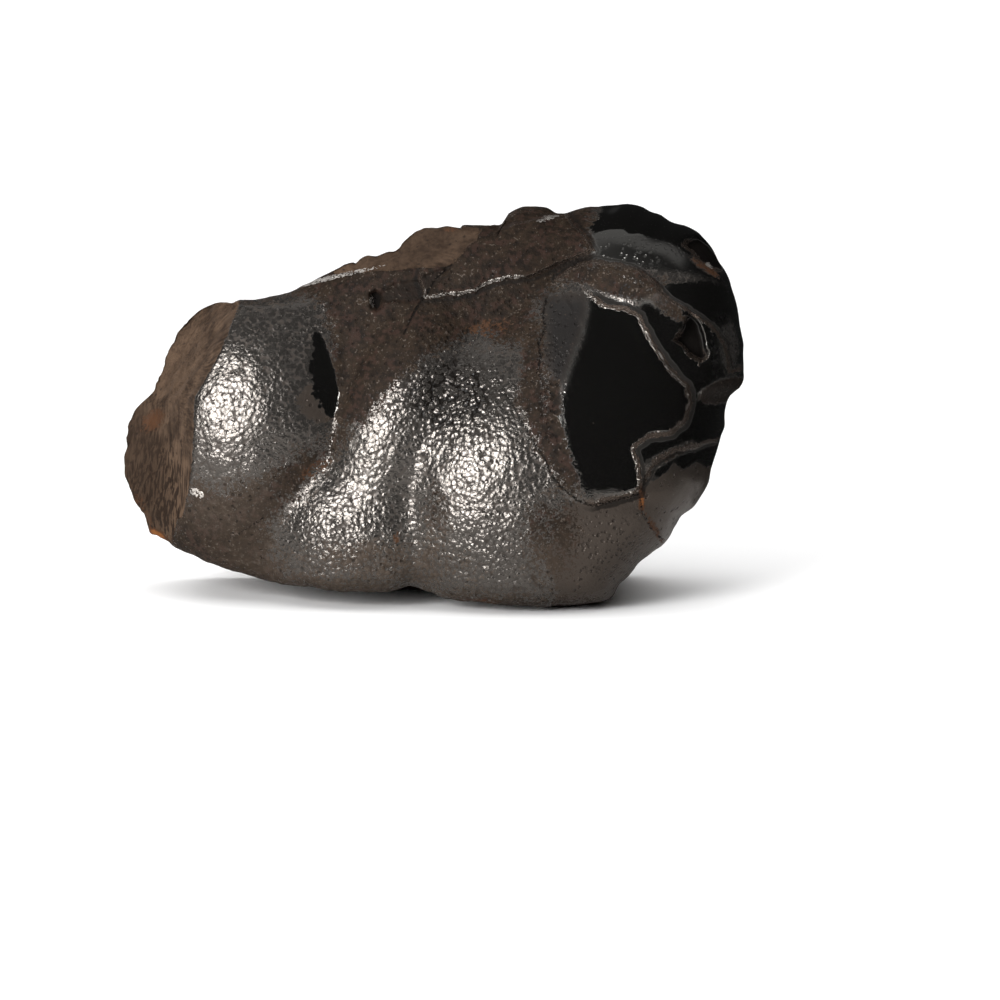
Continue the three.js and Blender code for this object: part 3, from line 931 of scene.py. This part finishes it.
    def ringed(self, u: Array, v: Array) -> Array:
        """1 on the lower left side of the big hollows, where crust is left round them."""
        middles = zip(self.notch_middle, self.pit_middle)
        middle_u, middle_v = (np.where(v > self.between_hollows, *pair) for pair in middles)
        return ease(-0.8, 1.2, -(u - middle_u) - (v - middle_v)) * ease(20.0, 30.0, u)

    def crust_behind(self) -> Array:
        """How much of the crust goes on behind the rim: only round the right and top."""
        degrees = np.degrees(self.shows["angle"]) + 9.0 * grain(self.points, 10.0, 3.7, 2)
        side = ease(*self.crust_from, degrees) * (1 - ease(*self.crust_to, degrees))
        return side * (1 - self.shows["cut"]) * (1 - ease(0.35, 0.6, self.shows["behind"]))

    def store(self) -> None:
        """Keeps what the finish reads as attributes of the mesh."""
        shows, (u, v) = self.shows, self.points[:, :2].T
        on_face = shows["behind"] <= 0
        # The painted highlights fade out where the surface turns edge-on to the face.
        facing = ease(0.05, 0.22, self.normals()[:, 2]) * on_face
        cracks = [distance_to_path(u, v, path, closed=False) for path in self.zones.cracks]
        hollow = np.maximum(shows["in_pit"], np.maximum(shows["in_notch"], shows["in_chip"]))
        plate_edge = 1 - ease(0.08, 0.46, np.abs(shows["in_plate"]))
        values = {
            "film": np.where(on_face, shows["film"], 0.9 * (1 - ease(26.0, 32.0, u))),
            "crack": np.where(on_face, np.min(cracks, axis=0), self.far),
            "ringed": self.ringed(u, v),
            "hollow": np.where(on_face, hollow, -self.far),
            # Painted highlights, also along the plate's lower edge.
            "gleam": np.maximum(self.zone("painted_gleams"), self.zone("plate_painted_gleam") * plate_edge) * facing,
            "striated": np.maximum(self.zone("striated"), shows["fibrous"]),
            "ochre": shows["fibrous"] * (0.5 + 0.7 * shows["bands"]),
        }
        values |= {name: shows[name] for name in self.kept}
        values |= {name: self.zone(name) * on_face for name in self.zoned}
        for name in self.face.layers:
            values[f"{name}_edge"] = np.where(on_face, shows[f"in_{name}"], -self.far)
        for name, amounts in values.items():
            layer = self.mesh.attributes.new(name, "FLOAT", "POINT")
            layer.data.foreach_set("value", amounts.astype(np.float32))
        layer = self.mesh.attributes.new("across", "FLOAT_VECTOR", "POINT")
        layer.data.foreach_set("vector", shows["across"].astype(np.float32).ravel())


# ---- Shader maths --------------------


class Graph:
    """The node tree of one material or world; its noise is read at place."""

    def __init__(self, tree: bpy.types.NodeTree) -> None:
        """Starts from an empty tree."""
        self.tree = tree
        self.place: Term | None = None
        tree.nodes.clear()

    def node(self, kind: str, settings: dict | None = None, inputs: dict | None = None) -> bpy.types.Node:
        """Adds a node.

        Args:
            kind: the node's type name, without ShaderNode.
            settings: its properties, which are set first.
            inputs: values or links for its sockets, by name or number.

        Returns:
            The new node.
        """
        made = self.tree.nodes.new("ShaderNode" + kind)
        for name, value in (settings or {}).items():
            setattr(made, name, value)
        for name, value in (inputs or {}).items():
            socket = made.inputs[name]
            if isinstance(value, Term):
                value = value.socket
            if isinstance(value, bpy.types.NodeSocket):
                self.tree.links.new(value, socket)
            else:
                socket.default_value = value
        return made

    def term(self, kind: str, output: int | str, *options: dict | None) -> "Term":
        """Adds a node, with the options that node() takes, and wraps one of its outputs."""
        return Term(self, self.node(kind, *options).outputs[output])

    def attribute(self, name: str, output: str = "Fac") -> "Term":
        """Reads one of the mesh's attributes."""
        return self.term("Attribute", output, {"attribute_name": name})

    def mix(self, share: "Term", first: "Term | Colour", second: "Term | Colour") -> "Term":
        """Blends two colours.

        Args:
            share: 0 for the first colour and 1 for the second.
            first: a colour or a term.
            second: a colour or a term.

        Returns:
            The blended colour.
        """
        ends = [one if isinstance(one, Term) else (*one, 1.0) for one in (first, second)]
        return self.term("Mix", 2, {"data_type": "RGBA"}, {0: share, 6: ends[0], 7: ends[1]})

    def principled(self, inputs: dict) -> None:
        """Ends a material's graph in a Principled shader."""
        shader = self.node("BsdfPrincipled", None, inputs)
        self.node("OutputMaterial", None, {"Surface": shader.outputs[0]})

    def noise(self, scale: float, detail: float = 3.0, vector: "Term | None" = None) -> "Term":
        """Fractal noise, mostly between 0.3 and 0.7, over the place or another vector."""
        inputs = {"Vector": vector or self.place, "Scale": scale, "Detail": detail}
        return self.term("TexNoise", 0, None, inputs)

    def cells(self, scale: float) -> "Term":
        """Distance to the nearest of scattered points."""
        return self.term("TexVoronoi", "Distance", None, {"Vector": self.place, "Scale": scale})


def maths(operation: str, turned: bool = False) -> Callable[..., "Term"]:
    """Makes a method of Term that adds a Math node.

    Args:
        operation: what the node does.
        turned: whether the values swap places.

    Returns:
        The method.
    """

    def method(self: "Term", *others: "Term | float") -> "Term":
        """Result of the operation on this term and the others."""
        values = (self, *others)[:: -1 if turned else 1]
        return self.graph.term("Math", 0, {"operation": operation}, dict(enumerate(values)))

    return method


class Term:
    """A socket that adds maths nodes when it is used in an expression.

    Sums, products and differences work as on numbers, larger() is the larger of two values
    and size() is the value without its sign.
    """

    def __init__(self, graph: Graph, socket: bpy.types.NodeSocket) -> None:
        """Wraps a socket of a graph."""
        self.graph = graph
        self.socket = socket

    __add__ = __radd__ = maths("ADD")
    __mul__ = __rmul__ = maths("MULTIPLY")
    __sub__ = maths("SUBTRACT")
    __rsub__ = maths("SUBTRACT", turned=True)
    larger = maths("MAXIMUM")
    size = maths("ABSOLUTE")

    def ramp(self, low: float, high: float) -> "Term":
        """Smooth step from 0 at low to 1 at high; low may be the larger one."""
        inputs = {"Value": self, "From Min": low, "From Max": high}
        return self.graph.term("MapRange", 0, {"interpolation_type": "SMOOTHSTEP"}, inputs)

    def scaled(self, factors: Triple) -> "Term":
        """Multiplies a vector by three numbers."""
        inputs = {0: self, 1: factors}
        return self.graph.term("VectorMath", 0, {"operation": "MULTIPLY"}, inputs)


def new_material(name: str) -> tuple[bpy.types.Material, Graph]:
    """Adds a node material and gives its empty graph."""
    made = bpy.data.materials.new(name)
    made.use_nodes = True
    return made, Graph(made.node_tree)


# ---- Finishes --------------------


@dataclass(frozen=True)
class Coat:
    """One kind of surface: how it is coloured, how metallic and how rough."""

    colour: Colour
    metallic: float
    roughness: float


@dataclass(frozen=True)
class GoethiteFinish:
    """Black mirror crust, pebbled satin crust, brown film, rust and brown broken stone."""

    polish: Coat = Coat((0.090, 0.087, 0.082), 0.97, 0.05)
    satin: Coat = Coat((0.088, 0.080, 0.073), 0.82, 0.18)
    smooth: Coat = Coat((0.052, 0.042, 0.035), 0.5, 0.30)
    shoulder: Colour = (0.0245, 0.0225, 0.0215)
    stain: Coat = Coat((0.0230, 0.0150, 0.0105), 0.0, 0.6)
    film: Coat = Coat((0.0225, 0.0145, 0.0090), 0.0, 0.66)
    film_dark: Colour = (0.0070, 0.0047, 0.0034)
    film_red: Colour = (0.030, 0.0160, 0.0120)
    # Painted light: the paler film colour low on the face, for light from the floor.
    painted_floor_light: Colour = (0.048, 0.0345, 0.0250)
    glint: Coat = Coat((0.072, 0.058, 0.048), 0.4, 0.30)
    # Painted shade: near black inside the hollows.
    pocket: Coat = Coat((0.0035, 0.0027, 0.0022), 0.0, 0.9)
    lip: Coat = Coat((0.070, 0.054, 0.044), 0.7, 0.24)
    broken: Coat = Coat((0.060, 0.040, 0.029), 0.0, 0.78)
    broken_light: Colour = (0.080, 0.0510, 0.0330)
    broken_dark: Colour = (0.020, 0.0122, 0.0080)
    ochre: Colour = (0.090, 0.050, 0.023)
    rust: Coat = Coat((0.050, 0.0235, 0.0120), 0.0, 0.65)
    rust_vivid: Colour = (0.190, 0.068, 0.018)
    # Painted highlight: a pale grey coat laid over glints, bright slivers and the dots along the shell's
    # lip.
    gleam: Coat = Coat((0.56, 0.52, 0.48), 0.75, 0.26)
    order: tuple[str, ...] = (
        "stain", "smooth", "film", "glint", "polish", "pocket", "lip", "broken", "rust", "gleam",
    )
    noises: tuple[tuple[str, Place], ...] = (
        ("patchy", (0.35, 3.0)), ("speckle", (1.6, 2.0)), ("flecks", (0.9, 3.0)), ("fine", (3.2, 2.0)),
    )
    groove_scale: Triple = (1.6, 0.8, 0.07)
    pebble_scale: float = 1.3
    pebble_bump: float = 0.09
    pit_bump: float = 0.18
    crack_bump: float = 0.3
    lip_bump: float = 0.3
    # Colour of painted shade in cracks, below lips, between pebbles and in pits.
    painted_shade: Colour = (0.005, 0.004, 0.0033)
    ior: float = 1.2

    def material(self) -> bpy.types.Material:
        """Builds the node material of the stone."""
        made, graph = new_material("goethite")
        graph.place = graph.term("TexCoord", "Object").scaled((1 / METRES,) * 3)
        masks = self.masks(graph)
        tints = self.tints(graph, masks)
        colour: Term | Colour = self.satin.colour
        metallic: Term | float = self.satin.metallic
        roughness: Term | float = self.satin.roughness + 0.2 * masks["speckle"]
        for name in self.order:
            coat = getattr(self, name)
            share = masks[name]
            colour = graph.mix(share, colour, tints.get(name, coat.colour))
            metallic = metallic * (1 - share) + coat.metallic * share
            roughness = roughness * (1 - share) + coat.roughness * share
        # Painted shade: near-black colour and no metal along cracks, in the strips outside the lips, in
        # the gaps between pebbles and, more weakly, in pits.
        dark = masks["crack"].larger(masks["shade"] * 0.85).larger(masks["painted_shade"])
        dark = dark.larger(masks["pits"] * 0.6)
        colour = graph.mix(dark, colour, self.painted_shade)
        graph.principled({
            "Base Color": colour,
            "Metallic": metallic * (1 - dark),
            "Roughness": roughness + 0.24 * masks["haze"],
            "IOR": self.ior,
            "Normal": self.relief(graph, masks),
        })
        return made

    def tints(self, graph: Graph, masks: dict[str, Term]) -> dict[str, Term]:
        """Colours of the coats that aren't one colour all over.

        Args:
            graph: the material's graph.
            masks: what masks() returns.

        Returns:
            Colours by the name of the coat.
        """
        at = graph.attribute
        # dark holds painted shade below the ledge and round the right rim as well as darker stone.
        dark = at("dark")
        contrast = 0.45 + 0.9 * at("striated")
        streaks = (masks["fibre"] - 0.5) * contrast * 3.2 + masks["patchy"] * 0.8
        streaks = (streaks + 0.22 * at("bands") + 0.5).ramp(0.1, 0.9)
        stone = graph.mix(streaks * (1 - 0.8 * dark), self.broken_dark, self.broken_light)
        ochre = (at("ochre") + masks["patchy"] + 0.6 * masks["fibre"] - 0.3).ramp(0.5, 1.0)
        stone = graph.mix(ochre * 0.55, stone, self.ochre)
        stone = graph.mix(dark * 0.6, stone, self.broken_dark)
        mottle = 0.3 * masks["fine"] + 0.7 * masks["speckle"] + 1.0 * masks["flecks"]
        mottle = mottle + 0.9 * masks["patchy"] + 0.5
        film = graph.mix(mottle.ramp(0.1, 0.9), self.film_dark, self.film.colour)
        redness = (masks["flecks"] - 0.8 * masks["patchy"]).ramp(0.0, 0.16)
        film = graph.mix(redness * 0.6, film, self.film_red)
        # Painted light from the floor: paler film low on the face.
        film = graph.mix(at("pale") * 0.8, film, self.painted_floor_light)
        film = graph.mix(dark * 0.8, film, self.film_dark)
        rust = graph.mix(at("rusty").ramp(0.9, 1.3), self.rust.colour, self.rust_vivid)
        smooth = graph.mix(at("hazed"), self.smooth.colour, self.shoulder)
        return {"broken": stone, "film": film, "rust": rust, "smooth": smooth}

    def masks(self, graph: Graph) -> dict[str, Term]:
        """Breaks the mesh's soft zones up into irregular patches.

        Args:
            graph: the material's graph.

        Returns:
            Shares from 0 to 1 by name, and the noises from about -0.3 to 0.3.
        """
        at = graph.attribute
        noises = {name: graph.noise(*sizes) - 0.5 for name, sizes in self.noises}
        patchy, speckle, flecks, fine = noises.values()
        broken = at("break").ramp(0.35, 0.65)
        whole, soft = at("polish"), at("hazed")
        polish = (whole + 1.2 * flecks + 0.6 * speckle).ramp(0.46, 0.56)
        polish = polish * (1 - soft) + (whole + 0.4 * flecks).ramp(0.15, 0.85) * soft
        dither = 0.9 * fine + 1.3 * speckle
        film = (at("film") + 0.8 * patchy + dither).ramp(0.35, 0.6)
        smooth = (at("smooth") + 0.6 * flecks + 0.6 * speckle).ramp(0.4, 0.6)
        rust = (at("rusty") + 1.0 * patchy + dither).ramp(0.5, 0.9)
        lip, shade, dots = self.lips(graph, speckle, fine)
        # Painted shade between the pebbles, strongest where they are bold.
        gap_shade_weight = 0.20 * at("pebble") + 0.6 * at("bold")
        bare = 1 - whole.ramp(0.1, 0.45)
        few = graph.cells(0.75).ramp(0.3, 0.12) * speckle.ramp(-0.02, 0.04)
        many = graph.cells(1.15).ramp(0.42, 0.2) * at("pitted")
        pits = (few * bare).larger(many * bare.larger(0.5 * soft))
        glint = (0.7 * fine + speckle + 0.6 * patchy).ramp(0.23, 0.31)
        sheen = (speckle + 0.6 * flecks + 0.05).ramp(0.0, 0.25) * 0.5
        # More glint coat over the low film: glossier there, and lighter in colour as painted floor light.
        glint = glint.larger(sheen * at("pale"))
        return noises | {
            "broken": broken,
            "polish": polish,
            "film": film,
            "stain": (graph.cells(self.pebble_scale) + speckle + flecks).ramp(0.66, 0.86) * 0.55,
            "glint": glint * film,
            "smooth": smooth,
            "rust": rust,
            # Painted highlights, broken into dashes, and the painted dots along the shell's lip.
            "gleam": (at("gleam") * (1 + 4.0 * dither)).ramp(0.55, 0.8).larger(dots),
            "haze": (soft + 0.5 * flecks).ramp(0.3, 0.8) * polish,
            "painted_shade": (graph.cells(self.pebble_scale) + 0.5 * speckle).ramp(0.44, 0.66) * gap_shade_weight,
            "pits": pits,
            # Painted shade inside the hollows.
            "pocket": at("hollow").ramp(0.0, 0.4),
            "lip": lip * (1 - broken),
            "shade": shade * (1 - broken),
            # Cracks get painted shade as well as a groove in the bump.
            "crack": (at("crack") + 1.6 * speckle.size()).ramp(0.32, 0.12),
            "fibre": self.fibres(graph),
        }

    def lips(self, graph: Graph, speckle: Term, fine: Term) -> tuple[Term, Term, Term]:
        """What the broken edges of the growth layers and hollows show.

        Args:
            graph: the material's graph.
            speckle: the noise that makes the edges ragged.
            fine: the noise that scatters the dots.

        Returns:
            The pale lips, the painted shade below them and the painted highlight dots along
            the shell's lip.
        """
        at = graph.attribute
        shell_seen, layer_seen = at("shell_seen"), at("layer_seen")
        shell, layer, plate = at("shell_edge"), at("layer_edge"), at("plate_edge")
        ragged = 1.1 * speckle
        lip = ((shell.size() + ragged).ramp(0.50, 0.32) * shell_seen).larger(
            (layer.size() + ragged).ramp(0.40, 0.22) * layer_seen
        )
        lip = lip.larger((plate.size() + ragged).ramp(0.35, 0.15))
        lip = lip.larger((at("hollow").size() + ragged).ramp(0.45, 0.25) * at("ringed"))
        # Painted shade: a dark strip just outside the edges of the shell, the layer and the plate.
        shade = ((shell + 0.78).size().ramp(0.45, 0.25) * shell_seen).larger(
            (layer + 0.65).size().ramp(0.35, 0.1) * layer_seen
        )
        shade = shade.larger((plate + 0.8).size().ramp(0.6, 0.1) * 0.9)
        # Painted highlights: bright dots along the inner side of the shell's lip.
        dots = (0.8 * fine + 1.2 * speckle + 0.25 * at("sparkling")).ramp(0.26, 0.32)
        return lip, shade, dots * (shell - 0.25).size().ramp(0.3, 0.15) * shell_seen

    def fibres(self, graph: Graph) -> Term:
        """Streaks along the fibres of broken stone: in sprays, and upright at the left end."""
        across, grooved = graph.attribute("across", "Vector"), graph.attribute("grooved")
        sprays = 0.65 * graph.noise(2.2, 3.0, across) + 0.35 * graph.noise(0.8, 2.0, across)
        sprays = (sprays - 0.5) * graph.attribute("clear") + 0.5
        upright = graph.noise(1.5, 4.0, graph.place.scaled(self.groove_scale))
        upright = (upright - 0.5) * 1.8 + 0.5
        return sprays * (1 - grooved) + upright * grooved

    def relief(self, graph: Graph, masks: dict[str, Term]) -> Term:
        """Fine bumps: pebbles, grain, fibres, pits and cracks."""
        polish, film = graph.attribute("polish"), graph.attribute("film")
        speckle, broken = masks["speckle"], masks["broken"]
        cells = graph.cells(self.pebble_scale) + 0.3 * speckle
        small = graph.cells(2.6)
        pebbles = self.pebble_bump * (1 - cells * cells) + 0.014 * (1 - small * small) + 0.06 * speckle
        pebbles = pebbles + 0.06 * masks["flecks"]
        crust = pebbles * graph.attribute("pebble")
        grainy = graph.noise(4.5, 3.0)
        grit = (0.03 * grainy + (0.05 * grainy + 0.09 * speckle) * film) * (1 - polish)
        grit = grit + self.lip_bump * grainy * masks["lip"]
        fibrous = (0.15 + 0.50 * graph.attribute("striated")) * masks["fibre"] + 0.05 * grainy
        height = crust + grit * (1 - broken) + fibrous * broken
        height = height - self.pit_bump * masks["pits"] * (1 - broken)
        height = height - self.crack_bump * masks["crack"]
        return graph.term("Bump", 0, None, {"Height": height, "Distance": METRES, "Strength": 1.0})


@dataclass(frozen=True)
class FloorFinish:
    """Plain pale studio floor."""

    name: str = "studio_floor"
    colour: Colour = (0.95, 0.95, 0.95)
    roughness: float = 0.9
    ior: float = 1.2

    def material(self) -> bpy.types.Material:
        """Builds the floor's material."""
        made, graph = new_material(self.name)
        colour = (*self.colour, 1.0)
        graph.principled({"Base Color": colour, "Roughness": self.roughness, "IOR": self.ior})
        return made


# ---- Studio --------------------


class Seen(Enum):
    """Whether a light shows as a reflection or only brightens dull surfaces."""

    IN_REFLECTIONS = True
    ONLY_ON_DULL = False


@dataclass(frozen=True)
class Softbox:
    """A rectangular light aimed at the stone, placed by direction and distance."""

    name: str
    azimuth: float
    elevation: float
    distance: float
    size: Place
    radiance: float
    seen: Seen = Seen.IN_REFLECTIONS

    def build(self, target: Vector) -> bpy.types.Object:
        """Adds the light.

        Args:
            target: the point that it faces.

        Returns:
            The light's object.
        """
        turn, rise = math.radians(self.azimuth), math.radians(self.elevation)
        away = Vector(
            (math.sin(turn) * math.cos(rise), -math.cos(turn) * math.cos(rise), math.sin(rise))
        )
        data = bpy.data.lights.new(self.name, "AREA")
        data.shape = "RECTANGLE"
        data.size, data.size_y = self.size
        data.energy = self.radiance * math.pi * self.size[0] * self.size[1]
        light = bpy.data.objects.new(self.name, data)
        light.location = target + away * self.distance
        light.rotation_euler = away.to_track_quat("Z", "Y").to_euler()
        light.visible_glossy = self.seen.value
        bpy.context.scene.collection.objects.link(light)
        return light


@dataclass
class Studio:
    """Floor, lights, backdrop and camera."""

    stance: Stance
    target: Triple = (0.0, 0.0, 0.03)
    aim: Triple = (11.0, -15.2, 3.0)
    frame_width: float = 169.1
    lens: float = 300.0
    sensor: float = 36.0
    floor_size: float = 30.0
    card_size: Place = (0.70, 0.83)
    card_centre: Place = (-0.25, -0.385)
    card_level: float = 0.0004
    card_colour: Colour = (0.64, 0.62, 0.60)
    world_dim: float = 0.011
    world_behind: float = 0.9
    world_seen: float = 0.95
    lights: tuple[Softbox, ...] = (
        Softbox("key", -33, 17, 1.0, (0.42, 0.42), 26.0),
        Softbox("overhead", 180, 80, 1.5, (2.6, 0.9), 0.6),
        Softbox("ceiling", 0, 90, 3.0, (6.0, 6.0), 1.6, Seen.ONLY_ON_DULL),
        Softbox("back_fill", 205, 28, 1.6, (1.2, 0.8), 1.6, Seen.ONLY_ON_DULL),
    )

    def build(self) -> list[bpy.types.Object]:
        """Adds everything round the stone and returns what lies on the ground."""
        for light in self.lights:
            light.build(Vector(self.target))
        self.backdrop()
        self.camera()
        return [self.floor(), self.card()]

    def sheet(self, finish: FloorFinish, size: Place, centre: Triple) -> bpy.types.Object:
        """Lays a flat sheet on the ground.

        Args:
            finish: its finish, which also names it.
            size: its width and depth.
            centre: where its middle lies.

        Returns:
            The sheet's object.
        """
        grid = bmesh.new()
        bmesh.ops.create_grid(grid, x_segments=1, y_segments=1, size=0.5)
        bmesh.ops.scale(grid, vec=(*size, 1.0), verts=grid.verts[:])
        bmesh.ops.translate(grid, vec=centre, verts=grid.verts[:])
        mesh = bpy.data.meshes.new(finish.name)
        grid.to_mesh(mesh)
        grid.free()
        mesh.materials.append(finish.material())
        sheet = bpy.data.objects.new(finish.name, mesh)
        bpy.context.scene.collection.objects.link(sheet)
        return sheet

    def floor(self) -> bpy.types.Object:
        """A wide pale floor at the stone's foot."""
        floor = self.sheet(FloorFinish(), (self.floor_size, self.floor_size), (0.0, 0.0, 0.0))
        floor.visible_glossy = False
        return floor

    def card(self) -> bpy.types.Object:
        """A pale card under the stone, which only its glossy surfaces see."""
        finish = FloorFinish("bounce_card", self.card_colour)
        card = self.sheet(finish, self.card_size, (*self.card_centre, self.card_level))
        card.visible_camera = card.visible_diffuse = card.visible_shadow = False
        return card

    def backdrop(self) -> None:
        """A world that is pale behind the stone and dim in front of it and above."""
        world = bpy.data.worlds.new("studio")
        bpy.context.scene.world = world
        world.use_nodes = True
        graph = Graph(world.node_tree)
        direction = graph.term("TexCoord", "Generated")
        parts = graph.node("SeparateXYZ", None, {0: direction})
        x, y, z = (Term(graph, part) for part in parts.outputs)
        behind, low, leftward = y.ramp(0.5, 0.8), z.ramp(0.5, 0.2), x.ramp(0.0, -0.3)
        shade = self.world_dim + self.world_behind * behind * low * leftward
        seen = graph.term("LightPath", 0)
        level = shade * (1 - seen) + self.world_seen * seen
        light = graph.node("Background", None, {0: (1.0, 1.0, 1.0, 1.0), 1: level})
        graph.node("OutputWorld", None, {0: light.outputs[0]})

    def camera(self) -> None:
        """A long lens square on to the stone's face."""
        axes = self.stance.axes()
        aim = self.stance.row(np.array([self.aim]))[0]
        away = self.frame_width * METRES * self.lens / self.sensor
        data = bpy.data.cameras.new("camera")
        data.lens, data.sensor_width = self.lens, self.sensor
        data.clip_start, data.clip_end = 0.01, 100.0
        camera = bpy.data.objects.new("camera", data)
        turned = Matrix(axes).transposed().to_4x4()
        camera.matrix_world = Matrix.Translation(Vector(aim + axes[2] * away)) @ turned
        bpy.context.scene.collection.objects.link(camera)
        bpy.context.scene.camera = camera
        bpy.context.scene.view_settings.view_transform = "Standard"


# ---- Putting it together --------------------


def main() -> None:
    """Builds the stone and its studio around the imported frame."""
    logging.basicConfig(level=logging.INFO, format="%(name)s: %(message)s")
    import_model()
    model = Stone()
    stone = model.build(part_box(NODE))
    stone.data.materials.append(GoethiteFinish().material())
    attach(stone, "root")
    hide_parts(NODE)
    LOG.info("stone: %d vertices, %d faces", len(stone.data.vertices), len(stone.data.polygons))
    for sheet in Studio(model.stance).build():
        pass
    LOG.info("studio: %d lights", len(bpy.data.lights))


if __name__ == "__main__":
    main()
